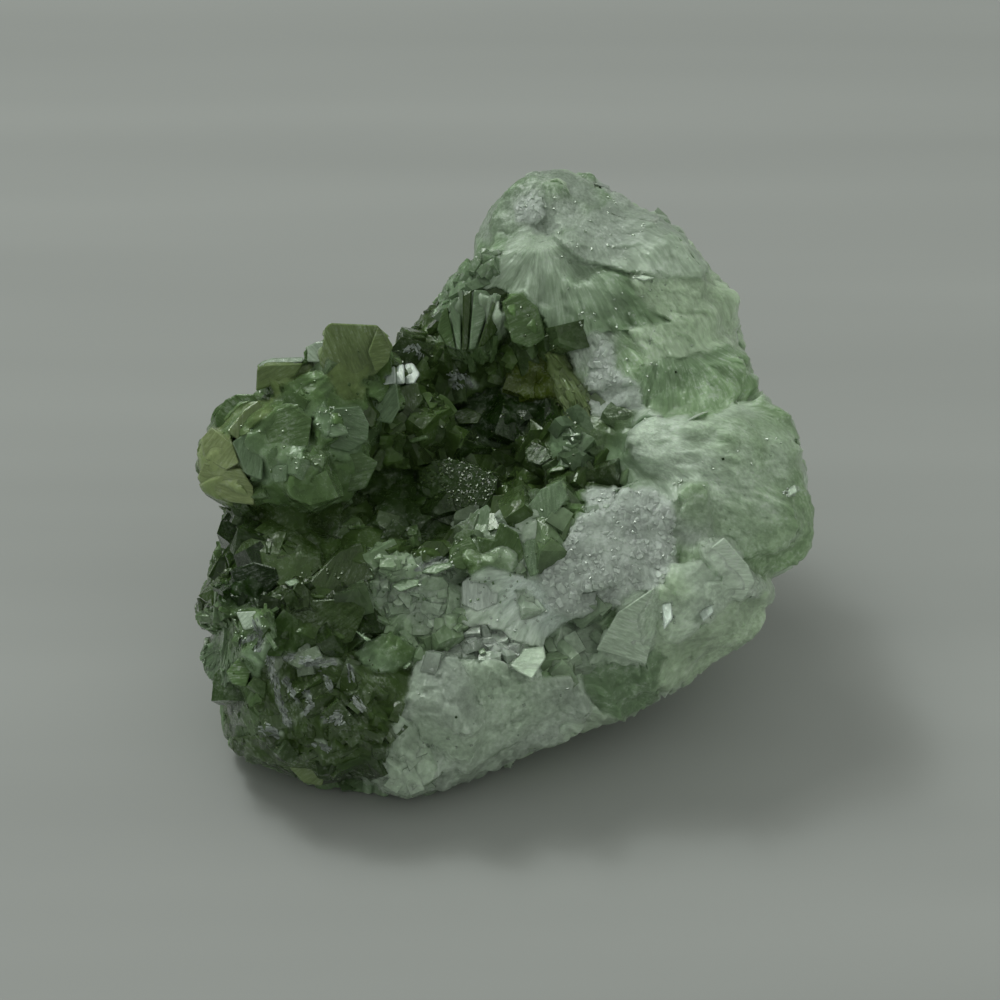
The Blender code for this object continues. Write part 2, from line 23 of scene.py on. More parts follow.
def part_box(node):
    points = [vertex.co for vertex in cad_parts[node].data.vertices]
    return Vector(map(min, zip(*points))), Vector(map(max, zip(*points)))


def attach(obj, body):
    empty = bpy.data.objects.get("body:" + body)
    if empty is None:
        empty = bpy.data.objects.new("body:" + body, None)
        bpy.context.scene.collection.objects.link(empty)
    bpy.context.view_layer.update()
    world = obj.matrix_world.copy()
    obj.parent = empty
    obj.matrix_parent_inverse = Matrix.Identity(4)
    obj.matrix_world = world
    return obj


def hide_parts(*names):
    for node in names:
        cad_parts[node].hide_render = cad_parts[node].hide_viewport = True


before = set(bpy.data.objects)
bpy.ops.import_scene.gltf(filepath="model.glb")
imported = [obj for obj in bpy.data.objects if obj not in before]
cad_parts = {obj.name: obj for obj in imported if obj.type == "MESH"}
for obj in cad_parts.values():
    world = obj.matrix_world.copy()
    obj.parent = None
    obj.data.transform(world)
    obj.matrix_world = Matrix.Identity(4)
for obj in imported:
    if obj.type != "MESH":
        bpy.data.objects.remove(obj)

MM = 0.001
TINY = 1e-9
SEED = 11
CAD_NODE = "prehnite_cluster"

logging.basicConfig(level=logging.INFO, format="%(name)s: %(message)s")
LOG = logging.getLogger("prehnite")

# The steepest slope that a flat face may have to the viewer, in mm per mm.
STEEPEST = 1.2

# Large odd numbers that scatter the values of the noise.
SCATTER = (73856093, 19349663, 83492791, 6542989, 1274126177, 668265263)

# Spots on the front, in order along a line or round an outline, in steps.
Line = tuple[tuple[float, float], ...]


class Tint(Enum):
    """Colours of the stone's growth, as display red, green and blue in even light."""

    WHITE = (199, 213, 202)
    FROST = (184, 196, 184)
    ASH = (157, 170, 155)
    PALE = (188, 205, 184)
    MINT = (176, 197, 166)
    GREY_GREEN = (170, 188, 165)
    LEAF = (140, 167, 126)
    SAGE = (120, 145, 110)
    MOSS = (96, 123, 76)
    OLIVE = (122, 142, 90)
    YELLOW = (150, 166, 114)
    DEEP = (64, 86, 40)
    GLOW = (68, 84, 10)
    BOTTLE = (48, 70, 28)
    INK = (28, 50, 12)

    def linear(self) -> np.ndarray:
        """The colour as linear light."""
        share = np.array(self.value) / 255
        return np.where(share <= 0.04045, share / 12.92, ((share + 0.055) / 1.055) ** 2.4)


@dataclass(frozen=True)
class Grains:
    """The separate small crystals of a growth, with lengths in millimetres.

    They are across by along in size, stand out by up to stand, and lean by about tilt. crowd
    is how many times over they cover the ground. spin is how far they turn off the sheaf.
    """

    across: float
    along: float
    stand: float
    tilt: float
    crowd: float
    spin: float = 0.15


@dataclass(frozen=True)
class Growth:
    """How the crystals of a patch are built and broken, with lengths in millimetres.

    Its lumps are across by along in size. They stand out by up to relief, their tops lean by
    up to slope, and their sides fall by steep. soft is how far the solid's own edges are
    melted under them. The finish reads roughness, sparkle, facet and bloom, and shade is how
    far one crystal's colour may be from the next one's. On the grains it also sets how deep
    the painted shade on their lower corners is.
    """

    across: float
    along: float
    relief: float
    slope: float
    steep: float
    soft: float
    roughness: float
    sparkle: float
    facet: float
    bloom: float
    shade: float
    grains: Grains | None = None


class Habit(Enum):
    """The kinds of growth on the stone."""

    FIBROUS = Growth(0.6, 1.7, 0.24, 0.26, 1.6, 0.40, 0.40, 0.60, 0.30, 0.50, 0.10)
    SUGARY = Growth(0.9, 1.1, 0.18, 0.20, 1.2, 0.35, 0.50, 0.70, 0.25, 0.60, 0.06,
                    Grains(0.35, 0.5, 0.05, 0.14, 0.5, 3))
    SMOOTH = Growth(1.0, 1.3, 0.26, 0.30, 1.8, 0.45, 0.34, 0.45, 0.30, 0.45, 0.10)
    FUSED = Growth(2.0, 2.6, 0.30, 0.25, 1.3, 0.40, 0.24, 0.25, 0.20, 0.22, 0.10,
                   Grains(1.5, 2.1, 0.07, 0.12, 0.7, 1))
    SHARDS = Growth(1.1, 1.8, 0.50, 0.45, 1.8, 0.10, 0.20, 0.40, 0.25, 0.50, 0.16,
                    Grains(0.8, 1.3, 0.34, 0.35, 1.2, 3))
    GLASSY = Growth(1.3, 1.9, 0.55, 0.45, 2.0, 0.10, 0.14, 0.30, 0.25, 0.12, 0.30,
                    Grains(1.2, 1.9, 0.40, 0.30, 1.3, 3))
    DRUSY = Growth(0.45, 0.5, 0.20, 0.35, 1.6, 0.10, 0.14, 0.60, 0.25, 0.25, 0.20,
                   Grains(0.28, 0.34, 0.12, 0.45, 1.6, 3))
    STREAKED = Growth(1.0, 2.2, 0.32, 0.30, 1.5, 0.15, 0.22, 0.40, 0.25, 0.30, 0.14,
                      Grains(0.9, 1.8, 0.10, 0.18, 0.8, 2))
    PLATES = Growth(0.6, 4.5, 0.40, 0.20, 2.0, 0.15, 0.20, 0.30, 0.25, 0.20, 0.15,
                    Grains(0.30, 1.8, 0.06, 0.07, 0.9))


SILKY = (Habit.FIBROUS.value, Habit.SUGARY.value)


@dataclass(frozen=True)
class Viewer:
    """The place that the front is looked at from, and the grid of steps that it is seen on."""

    elevation: float = math.radians(35)
    distance: float = 260 * MM
    aim: tuple[float, float, float] = (0.03 * MM, -6.77 * MM, 16.6 * MM)
    step: float = 0.07 * MM
    middle: float = 500

    def axes(self) -> np.ndarray:
        """Right, up and out as rows."""
        sine = math.sin(self.elevation)
        cosine = math.cos(self.elevation)
        return np.array([(1, 0, 0), (0, sine, cosine), (0, -cosine, sine)])

    def eye(self) -> np.ndarray:
        """Where the eye is."""
        return np.array(self.aim) + self.axes()[2] * self.distance

    def grid(self, points: np.ndarray) -> np.ndarray:
        """Finds where points are seen.

        Args:
            points: rows of places in the stone's frame, in metres.

        Returns:
            Rows of steps across, steps down, and how far out towards the eye, in metres.
        """
        own = (points - np.array(self.aim)) @ self.axes().T
        nearer = 1 - own[:, 2] / self.distance
        across = self.middle + own[:, 0] / nearer / self.step
        down = self.middle - own[:, 1] / nearer / self.step
        return np.column_stack([across, down, own[:, 2]])

    def place(self, across: np.ndarray, down: np.ndarray, out: np.ndarray) -> np.ndarray:
        """Finds the places seen at these steps.

        Args:
            across: steps from the left.
            down: steps from the top.
            out: metres towards the eye from the stone's middle.

        Returns:
            Rows of places in the stone's frame, in metres.
        """
        nearer = 1 - out / self.distance
        right = (across - self.middle) * self.step * nearer
        up = (self.middle - down) * self.step * nearer
        return np.array(self.aim) + np.column_stack([right, up, out]) @ self.axes()


@dataclass(frozen=True)
class Patch:
    """One patch of growth on the front, with its outline in steps of the viewer's grid.

    rise and dome are in mm, lean is in mm per mm to the right and upwards, and flat is how
    much of the solid's own relief gives way to a flat face, from 0 to 1. The heart is where
    its crystals grow from: steps across and down, and mm below the surface. The colour runs
    from tint at the heart to rim.
    """

    name: str
    habit: Habit
    tint: Tint
    outline: Line
    rise: float = 0.0
    flat: float = 0.0
    lean: tuple[float, float] | None = None
    dome: float = 0.0
    heart: tuple[float, float, float] | None = None
    rim: Tint | None = None


# The stone's edge as the viewer sees it, from the left and round over the top.
OUTLINE = (
    (195, 470), (197, 445), (205, 428), (213, 410), (222, 402), (236, 394), (255, 392), (257, 362),
    (278, 357), (300, 357), (303, 347), (320, 340), (325, 325), (345, 323), (380, 325), (393, 338),
    (402, 332), (420, 318), (440, 290), (455, 270), (472, 250), (475, 232), (485, 212), (500, 192),
    (520, 178), (530, 170), (560, 168), (590, 172), (608, 185), (640, 205), (665, 215), (682, 228),
    (700, 252), (715, 272), (738, 292), (742, 302), (737, 312), (745, 330), (748, 352), (755, 372),
    (768, 392), (772, 403), (790, 412), (798, 430), (803, 450), (808, 470), (808, 485), (815, 510),
    (815, 540), (808, 555), (790, 572), (775, 578), (776, 600), (768, 615), (758, 635), (735, 652),
    (715, 662), (695, 680), (685, 690), (665, 697), (640, 712), (630, 722), (600, 728), (575, 738),
    (560, 745), (535, 752), (510, 765), (480, 778), (440, 795), (408, 801), (385, 795), (360, 782),
    (345, 780), (318, 788), (295, 778), (270, 770), (250, 765), (232, 752), (222, 735), (220, 710),
    (215, 690), (205, 672), (200, 650), (203, 640), (194, 618), (194, 605), (205, 580), (212, 555),
    (225, 528), (222, 512), (210, 498), (197, 488),
)

# Where the window is, in metres.
WINDOW = (-0.46, 0.54, 0.98)

# About how a face leans that mirrors the window to the viewer.
GLINT = (-0.48, 0.91)

H = Habit
T = Tint

PATCHES = (
    # Left lobe
    Patch("left_body", H.FUSED, T.MOSS, ((196, 400), (257, 358), (310, 345), (393, 330), (393, 520),
          (330, 522), (240, 505), (196, 480)), heart=(300, 470, 6)),
    Patch("left_under", H.FUSED, T.MOSS, ((262, 484), (307, 455), (333, 462), (362, 447), (370, 435),
          (385, 455), (379, 476), (364, 494), (341, 511), (318, 514), (287, 510), (256, 504)), 0.1, 0.2,
          heart=(320, 440, 5)),
    Patch("left_edge", H.FUSED, T.YELLOW, ((207, 427), (217, 427), (238, 445), (241, 473), (255, 488),
          (253, 508), (234, 505), (217, 500), (203, 494), (194, 481), (190, 459), (200, 440)), 0.2, 0.2,
          heart=(262, 440, 1), rim=T.OLIVE),
    Patch("left_middle", H.FUSED, T.MOSS, ((257, 392), (278, 388), (307, 366), (318, 364), (333, 386),
          (318, 407), (313, 422), (307, 453), (287, 471), (266, 484), (241, 473), (238, 445), (252, 422)),
          0.2, 0.3, rim=T.SAGE, heart=(290, 400, 3)),
    Patch("left_bulge", H.FUSED, T.SAGE, ((313, 422), (318, 406), (333, 407), (361, 407), (368, 422),
          (370, 435), (362, 447), (351, 458), (333, 462), (318, 453)), 0.2, 0.1, dome=0.4, rim=T.MOSS),
    Patch("left_gleam", H.SHARDS, T.SAGE, ((315, 416), (324, 398), (327, 407), (333, 425), (348, 427),
          (347, 436), (324, 435), (316, 427)), 0.3, 0.6),
    Patch("crown_tab", H.FUSED, T.OLIVE, ((318, 364), (325, 343), (324, 334), (327, 325), (333, 322),
          (378, 324), (387, 330), (393, 341), (395, 352), (384, 367), (364, 386), (361, 398), (345, 398),
          (333, 386)), 0.3, 0.5, heart=(350, 420, 3)),
    Patch("low_tab", H.FUSED, T.OLIVE, ((254, 392), (254, 368), (260, 362), (272, 357), (287, 355),
          (303, 356), (307, 364), (298, 374), (287, 383), (263, 391)), 0.3, 0.4, heart=(280, 430, 2),
          rim=T.OLIVE),
    Patch("step_tab", H.SMOOTH, T.GREY_GREEN, ((307, 352), (310, 342), (320, 340), (322, 352), (318, 364),
          (309, 366)), 0.2, 0.6),
    Patch("corner_tab", H.FUSED, T.MOSS, ((213, 420), (222, 404), (232, 392), (248, 392), (257, 392),
          (266, 407), (252, 422), (241, 438), (230, 438), (217, 427)), 0.2, 0.4, heart=(262, 445, 2),
          rim=T.OLIVE),
    # Dark pocket
    Patch("pocket_floor", H.GLASSY, T.DEEP, ((393, 345), (366, 386), (372, 440), (372, 470), (340, 520),
          (395, 548), (415, 556), (455, 545), (480, 520), (500, 505), (550, 478), (588, 470), (590, 430),
          (588, 400), (560, 350), (545, 320), (500, 292), (470, 285), (430, 300), (400, 325)),
          heart=(480, 420, 9)),
    # pocket_deep: the INK tint is the dark glass's own colour and also painted shade of the deep hollow,
    # which the shallow solid doesn't shade.
    Patch("pocket_deep", H.FUSED, T.INK, ((500, 385), (545, 372), (560, 400), (556, 420), (540, 425),
          (500, 450), (470, 440), (450, 415), (470, 395)), -0.4, 0.1),
    Patch("pocket_low", H.FUSED, T.BOTTLE, ((372, 470), (420, 470), (425, 500), (465, 512), (455, 530),
          (415, 553), (392, 540), (350, 515)), -0.5, 0.2),
    Patch("olive_glow", H.FUSED, T.GLOW, ((505, 372), (520, 352), (545, 350), (562, 368), (562, 400),
          (530, 398), (512, 392)), 0.2, 0.3, rim=T.GLOW),
    Patch("blade_wall", H.PLATES, T.OLIVE, ((545, 352), (560, 356), (582, 385), (588, 400), (586, 420),
          (565, 415), (556, 395)), 0.3, 0.3, heart=(535, 335, 2)),
    Patch("pocket_beads", H.GLASSY, T.SAGE, ((556, 418), (586, 420), (589, 450), (582, 470), (556, 468),
          (548, 440)), 0.5, 0.1),
    Patch("dark_arch", H.GLASSY, T.DEEP, ((556, 474), (585, 466), (605, 464), (621, 474), (622, 488),
          (600, 488), (570, 486)), 0.2, 0.3),
    Patch("edge_on_fan", H.PLATES, T.MOSS, ((436, 345), (445, 310), (460, 292), (480, 288), (497, 298),
          (505, 330), (498, 352), (480, 362), (455, 362)), 0.6, 0.2, heart=(478, 375, 2), rim=T.GREY_GREEN),
    Patch("dark_sheet", H.GLASSY, T.MOSS, ((500, 300), (520, 292), (540, 310), (548, 340), (530, 350),
          (512, 345), (503, 325)), 0.3, 0.3),
    Patch("glint_crystal", H.SMOOTH, T.GREY_GREEN, ((385, 374), (413, 364), (418, 376), (394, 387),
          (386, 380)), 0.5, 0.95, GLINT),
    Patch("glint_side", H.DRUSY, T.MOSS, ((362, 384), (376, 376), (390, 390), (412, 386), (418, 398),
          (404, 410), (380, 404), (368, 396)), 0.3, 0.4),
    Patch("sparkle_barrel", H.DRUSY, T.BOTTLE, ((420, 464), (447, 458), (473, 462), (495, 472), (499, 486),
          (487, 502), (475, 511), (455, 506), (423, 498), (417, 488)), 0.7, 0.6, (-0.2, -0.35)),
    Patch("glitter_block", H.DRUSY, T.DEEP, ((523, 452), (532, 441), (545, 446), (552, 458), (540, 466),
          (528, 462)), 0.5, 0.5),
    # High lobe at the back
    Patch("high_flank", H.FIBROUS, T.MINT, ((640, 262), (706, 262), (742, 296), (745, 318), (754, 350),
          (758, 392), (700, 405), (642, 368), (600, 339), (600, 300)), 0.0, 0.25, heart=(560, 235, 4)),
    Patch("crown", H.FIBROUS, T.ASH, ((488, 210), (499, 190), (529, 166), (580, 164), (600, 180),
          (617, 193), (591, 207), (579, 225), (562, 233), (545, 236), (522, 236), (502, 250), (474, 258),
          (471, 240)), 0.3, 0.35, heart=(560, 250, 3), rim=T.SAGE),
    Patch("crown_white", H.SUGARY, T.FROST, ((512, 205), (530, 196), (545, 205), (548, 218), (530, 228),
          (515, 222)), -0.2, 0.8),
    Patch("upper_mass", H.FIBROUS, T.ASH, ((579, 225), (591, 207), (617, 193), (600, 178), (655, 190),
          (686, 220), (706, 252), (708, 278), (683, 277), (654, 280), (628, 271), (602, 265), (579, 262),
          (562, 245), (556, 236)), 0.8, 0.3, heart=(545, 225, 4), rim=T.GREY_GREEN),
    Patch("fan_face", H.FIBROUS, T.GREY_GREEN, ((470, 262), (502, 250), (522, 236), (545, 236), (562, 247),
          (579, 263), (602, 266), (628, 272), (634, 290), (671, 322), (631, 328), (591, 334), (568, 351),
          (551, 334), (539, 311), (525, 294), (499, 288), (482, 285)), -0.2, 0.4, None, heart=(540, 235, 1),
          rim=T.SAGE),
    Patch("back_spur", H.SHARDS, T.SAGE, ((430, 318), (440, 290), (470, 258), (502, 250), (500, 270),
          (470, 285), (450, 302)), 0.0, 0.2),
    Patch("white_step", H.SUGARY, T.FROST, ((582, 383), (591, 368), (599, 340), (614, 345), (617, 368),
          (631, 380), (637, 388), (614, 386), (602, 391), (588, 391)), 0.4, 0.4),
    Patch("under_step", H.FIBROUS, T.FROST, ((588, 391), (602, 391), (614, 386), (640, 388), (642, 409),
          (614, 410), (588, 417)), 0.1, 0.4),
    Patch("fan_foot", H.FIBROUS, T.ASH, ((568, 351), (591, 334), (631, 328), (642, 357), (642, 385),
          (631, 380), (617, 368), (614, 345), (599, 340), (591, 368), (582, 383), (575, 370)), 0.1, 0.3,
          heart=(560, 300, 3), rim=T.LEAF),
    Patch("green_wedge", H.FIBROUS, T.SAGE, ((642, 368), (674, 357), (706, 351), (736, 346), (758, 371),
          (754, 394), (734, 403), (703, 420), (677, 417), (642, 408), (640, 388)), -0.2, 0.6,
          heart=(660, 330, 2), rim=T.LEAF),
    Patch("olive_square", H.FUSED, T.DEEP, ((586, 417), (614, 410), (637, 411), (632, 437), (628, 454),
          (602, 461), (586, 451), (583, 434)), 0.3, 0.7, rim=T.SAGE),
    # Right lobe
    Patch("right_sheaf", H.FIBROUS, T.PALE, ((637, 411), (703, 420), (740, 400), (772, 404), (788, 410),
          (798, 422), (802, 437), (808, 451), (812, 468), (818, 490), (820, 523), (820, 549), (808, 562),
          (780, 574), (749, 572), (734, 546), (717, 535), (700, 503), (677, 480), (651, 474), (629, 456)),
          0.2, 0.35, heart=(612, 440, 3), rim=T.LEAF),
    Patch("right_inner", H.FIBROUS, T.SAGE, ((602, 462), (629, 454), (651, 474), (677, 482), (676, 498),
          (640, 492), (622, 478)), 0.1, 0.4, heart=(600, 440, 3), rim=T.PALE),
    Patch("right_green", H.SMOOTH, T.ASH, ((677, 482), (705, 484), (717, 535), (700, 563), (676, 558),
          (672, 540), (678, 520)), 0.0, 0.3, rim=T.LEAF),
    Patch("right_block", H.SUGARY, T.PALE, ((700, 550), (722, 535), (748, 563), (756, 582), (742, 602),
          (722, 596), (706, 580)), 0.4, 0.5),
    # Lower right
    Patch("right_edge", H.SMOOTH, T.MINT, ((658, 640), (685, 647), (703, 637), (720, 623), (745, 600),
          (772, 576), (785, 582), (770, 625), (740, 650), (705, 672), (680, 688), (654, 690), (660, 660)),
          0.0, 0.2, rim=T.MINT),
    Patch("scallops", H.SMOOTH, T.PALE, ((658, 586), (670, 566), (700, 560), (720, 575), (727, 600),
          (718, 622), (703, 640), (688, 650), (665, 646), (662, 620)), 0.3, 0.2, dome=0.4, rim=T.MINT),
    Patch("green_pit", H.GLASSY, T.GREY_GREEN, ((545, 641), (554, 633), (567, 621), (595, 613), (616, 605),
          (613, 613), (603, 627), (599, 637), (595, 649), (583, 660), (571, 672), (550, 676), (543, 668)),
          -0.2, 0.3, rim=T.LEAF),
    Patch("smooth_green", H.SMOOTH, T.SAGE, ((589, 674), (595, 664), (609, 657), (646, 665), (652, 649),
          (660, 656), (671, 662), (654, 680), (644, 696), (624, 700), (599, 701), (590, 690)), 0.1, 0.4,
          rim=T.SAGE),
    Patch("triangle_fan", H.FIBROUS, T.GREY_GREEN, ((616, 604), (634, 596), (656, 585), (659, 602),
          (656, 623), (652, 643), (646, 665), (620, 658), (603, 660), (587, 658), (601, 643), (614, 627)),
          0.4, 0.6, (0.2, -0.2), heart=(662, 585, 1)),
    Patch("low_rim", H.SMOOTH, T.MINT, ((587, 715), (590, 702), (624, 700), (636, 706), (628, 718),
          (613, 728), (583, 735), (562, 740), (571, 725)), 0.1, 0.3, rim=T.PALE),
    # Bottom middle
    Patch("low_pale", H.SMOOTH, T.GREY_GREEN, ((440, 656), (481, 657), (507, 664), (534, 678), (554, 680),
          (579, 684), (588, 696), (588, 716), (571, 727), (560, 741), (546, 752), (507, 764), (481, 774),
          (440, 792), (415, 804), (395, 800), (380, 780), (390, 740), (405, 700)), 0.2, 0.4,
          heart=(470, 640, 5), rim=T.ASH),
    Patch("low_white", H.SMOOTH, T.GREY_GREEN, ((428, 666), (445, 654), (456, 652), (467, 670), (479, 700),
          (485, 721), (481, 737), (470, 752), (445, 748), (425, 740), (412, 722), (405, 700), (413, 678)),
          0.4, 0.2, dome=0.5, rim=T.ASH),
    Patch("low_streaky", H.STREAKED, T.GREY_GREEN, ((350, 795), (372, 765), (392, 740), (402, 718),
          (412, 722), (425, 740), (440, 760), (430, 800), (400, 805)), 0.1, 0.3),
    Patch("pale_join", H.SHARDS, T.ASH, ((462, 629), (497, 631), (507, 643), (542, 647), (518, 650),
          (507, 663), (481, 656), (440, 656), (445, 640)), -0.2, 0.3),
    Patch("glint_face", H.DRUSY, T.PALE, ((507, 664), (518, 649), (544, 646), (546, 658), (541, 672),
          (532, 679), (518, 672)), 0.4, 0.9, GLINT),
    # White broken face and its bridge
    Patch("white_bridge", H.FIBROUS, T.WHITE, ((462, 588), (471, 578), (487, 568), (499, 572), (514, 578),
          (538, 582), (560, 575), (575, 600), (571, 619), (554, 627), (546, 639), (542, 647), (507, 643),
          (495, 629), (471, 627), (462, 621), (458, 606)), 0.3, 0.3, heart=(560, 570, 2), rim=T.PALE),
    Patch("bridge_hollow", H.SHARDS, T.GREY_GREEN, ((518, 594), (527, 590), (541, 610), (536, 618),
          (520, 612)), 0.0, 0.3),
    Patch("white_face", H.SUGARY, T.FROST, ((589, 485), (603, 488), (616, 484), (624, 490), (632, 494),
          (645, 489), (656, 490), (667, 498), (677, 513), (678, 520), (671, 531), (673, 541), (677, 551),
          (678, 562), (664, 578), (656, 584), (636, 594), (616, 605), (599, 613), (571, 619), (555, 612),
          (545, 595), (538, 582), (544, 566), (548, 558), (560, 549), (571, 533), (575, 515), (585, 506)),
          0.7, 0.6, (0.12, 0.12)),
    # Ridge between the pocket and the lower left
    Patch("ridge_low", H.SHARDS, T.GREY_GREEN, ((350, 560), (380, 545), (405, 556), (440, 545), (470, 565),
          (462, 588), (458, 606), (462, 629), (440, 645), (415, 640), (385, 628), (360, 600)), 0.2, 0.1,
          rim=T.LEAF),
    Patch("ridge_block", H.SHARDS, T.MOSS, ((454, 534), (473, 512), (486, 504), (491, 510), (508, 523),
          (519, 532), (530, 575), (510, 571), (489, 564), (462, 573), (445, 567), (450, 549)), 0.6, 0.35,
          heart=(480, 590, 2), rim=T.GREY_GREEN),
    Patch("ridge_shard", H.SMOOTH, T.MOSS, ((514, 521), (540, 489), (560, 480), (567, 497), (551, 519),
          (547, 541), (538, 575), (530, 577), (519, 545)), 0.4, 0.6, (-0.2, 0.3), rim=T.GREY_GREEN),
    Patch("ridge_wedge", H.GLASSY, T.MOSS, ((549, 532), (556, 510), (571, 497), (584, 488), (586, 506),
          (573, 528), (554, 545)), -0.1, 0.4),
    Patch("ridge_crest", H.DRUSY, T.PALE, ((416, 572), (436, 564), (450, 560), (452, 568), (436, 577),
          (418, 578)), 0.5, 0.6, GLINT),
    Patch("ridge_gleam", H.DRUSY, T.PALE, ((392, 584), (408, 576), (420, 580), (418, 588), (398, 592)), 0.5,
          0.6, GLINT),
    Patch("ridge_dark", H.GLASSY, T.DEEP, ((410, 555), (425, 540), (442, 540), (452, 550), (440, 562),
          (418, 564)), 0.3, 0.3, dome=0.3),
    # Lower left
    Patch("left_band", H.FUSED, T.DEEP, ((228, 506), (262, 506), (318, 512), (366, 498), (392, 540),
          (372, 545), (340, 560), (320, 582), (290, 572), (258, 560), (254, 533), (232, 520)), -0.3, 0.3,
          rim=T.DEEP),
    Patch("left_corner", H.GLASSY, T.BOTTLE, ((222, 508), (232, 533), (256, 531), (258, 561), (236, 563),
          (226, 578), (217, 589), (202, 604), (195, 615), (194, 628), (204, 646), (190, 640), (186, 600),
          (205, 560)), 0.0, 0.2, heart=(262, 550, 1), rim=T.DEEP),
    Patch("dark_block", H.GLASSY, T.INK, ((228, 568), (254, 560), (277, 566), (281, 578), (265, 597),
          (261, 606), (236, 606), (226, 590)), 0.1, 0.3),
    Patch("striped_fan", H.PLATES, T.MOSS, ((224, 606), (236, 609), (254, 611), (276, 615), (274, 630),
          (263, 646), (241, 654), (217, 687), (203, 676), (199, 660), (203, 644), (212, 625)), 0.4, 0.4,
          heart=(280, 615, 1), rim=T.SAGE),
    Patch("left_knob", H.FUSED, T.SAGE, ((228, 670), (241, 654), (263, 646), (267, 661), (254, 672),
          (252, 684), (245, 689), (230, 682)), 0.6, 0.2, dome=0.4),
    Patch("dark_slope", H.GLASSY, T.DEEP, ((276, 615), (269, 592), (298, 583), (317, 570), (339, 548),
          (363, 542), (372, 555), (376, 574), (365, 589), (371, 603), (385, 620), (387, 633), (358, 648),
          (335, 652), (310, 654), (284, 659), (278, 645)), 0.0, 0.5, (0.0, 0.2), rim=T.BOTTLE),
    Patch("dark_facet", H.FUSED, T.DEEP, ((339, 548), (363, 542), (376, 578), (346, 594), (318, 598),
          (300, 590)), 0.4, 0.6, (0.1, 0.1)),
    Patch("low_left_dark", H.STREAKED, T.DEEP, ((265, 655), (291, 653), (337, 653), (365, 648), (402, 666),
          (411, 685), (402, 718), (392, 740), (380, 766), (328, 774), (272, 768), (232, 759), (220, 750),
          (217, 712), (222, 690), (254, 682)), 0.0, 0.1, heart=(285, 640, 3), rim=T.DEEP),
    Patch("low_left_foot", H.STREAKED, T.BOTTLE, ((230, 755), (272, 768), (328, 774), (380, 766),
          (372, 790), (340, 800), (318, 792), (280, 785), (245, 775)), 0.1, 0.1),
    Patch("olive_corner", H.FUSED, T.INK, ((216, 700), (228, 688), (250, 690), (262, 705), (258, 730),
          (240, 742), (222, 730)), 0.2, 0.4, rim=T.MOSS),
    Patch("olive_bulge", H.SMOOTH, T.MOSS, ((356, 652), (365, 641), (387, 633), (402, 641), (409, 654),
          (402, 666), (383, 672), (361, 663)), 0.5, 0.2, dome=0.5, rim=T.SAGE),
)


# White streaks of needles on the glassy growth, as lines and half widths, in steps.
STREAKS = (
    (((269, 657), (272, 668), (276, 687), (280, 703), (289, 726)), 2.6),
    (((285, 679), (298, 702)), 2.4),
    (((284, 659), (295, 657)), 2.6),
    (((300, 661), (316, 664), (335, 663)), 3.2),
    (((306, 690), (311, 706), (303, 716)), 2.4),
    (((350, 666), (354, 681)), 2.4),
    (((352, 698), (363, 709)), 2.8),
    (((324, 720), (333, 717), (341, 716), (337, 726)), 2.8),
    (((261, 727), (280, 735)), 2.8),
    (((315, 742), (328, 750)), 2.4),
    (((326, 676), (331, 688)), 2.0),
    (((254, 620), (262, 640), (258, 652)), 2.2),
    (((240, 645), (252, 636)), 2.0),
    (((405, 352), (415, 347), (421, 358)), 2.2),
    (((447, 376), (458, 374), (466, 380), (474, 386)), 2.6),
    (((452, 384), (462, 388)), 2.0),
    (((416, 571), (430, 562), (449, 558)), 2.0),
)


# Where tiny crystal faces catch the window's light: an outline, how many there are, and their tint.
GLITTER = (
    (((420, 463), (447, 458), (480, 465), (499, 478), (487, 500), (470, 508), (430, 498), (418, 486)), 120,
     T.DEEP),
    (((523, 450), (533, 440), (546, 445), (553, 458), (540, 467), (527, 463)), 4, T.DEEP),
    (((392, 433), (424, 430), (430, 440), (398, 446)), 26, T.DEEP),
    (((395, 345), (470, 350), (500, 400), (560, 400), (590, 440), (560, 480), (480, 450), (400, 440)), 60,
     T.DEEP),
    (((500, 292), (545, 320), (560, 350), (510, 352)), 12, T.DEEP),
    (((416, 576), (434, 564), (452, 560), (454, 566), (436, 577)), 34, T.GREY_GREEN),
    (((390, 592), (404, 577), (422, 577), (420, 588)), 26, T.GREY_GREEN),
    (((350, 560), (460, 545), (560, 500), (530, 580), (462, 640), (380, 640)), 60, T.SAGE),
    (((462, 575), (560, 575), (575, 615), (500, 640), (460, 620)), 30, T.FROST),
    (((589, 485), (667, 498), (678, 562), (599, 613), (545, 595), (560, 549)), 50, T.FROST),
    (((508, 664), (519, 650), (544, 647), (545, 660), (532, 678)), 60, T.FROST),
    (((658, 604), (672, 600), (676, 628), (664, 632)), 30, T.PALE),
    (((698, 612), (713, 603), (716, 614), (703, 624)), 26, T.PALE),
    (((782, 492), (797, 483), (799, 493), (788, 499)), 26, T.PALE),
    (((290, 575), (345, 560), (350, 575), (300, 590)), 14, T.DEEP),
    (((228, 606), (275, 615), (262, 645), (235, 650)), 26, T.SAGE),
    (((354, 628), (360, 630), (373, 641), (364, 641)), 12, T.SAGE),
    (((235, 400), (380, 340), (385, 430), (340, 500), (240, 480)), 24, T.MOSS),
    (((318, 400), (350, 412), (350, 438), (318, 430)), 26, T.SAGE),
    (((295, 450), (335, 450), (335, 470), (295, 470)), 16, T.MOSS),
    (((540, 230), (660, 270), (700, 350), (640, 400), (580, 330)), 50, T.GREY_GREEN),
    (((490, 200), (580, 170), (650, 220), (700, 260), (560, 240)), 40, T.GREY_GREEN),
    (((630, 272), (656, 272), (656, 284), (630, 282)), 18, T.GREY_GREEN),
    (((640, 400), (800, 430), (815, 540), (740, 570), (660, 480)), 30, T.GREY_GREEN),
    (((400, 660), (590, 690), (570, 730), (400, 800)), 24, T.ASH),
    (((230, 660), (400, 660), (380, 760), (240, 750)), 34, T.DEEP),
)

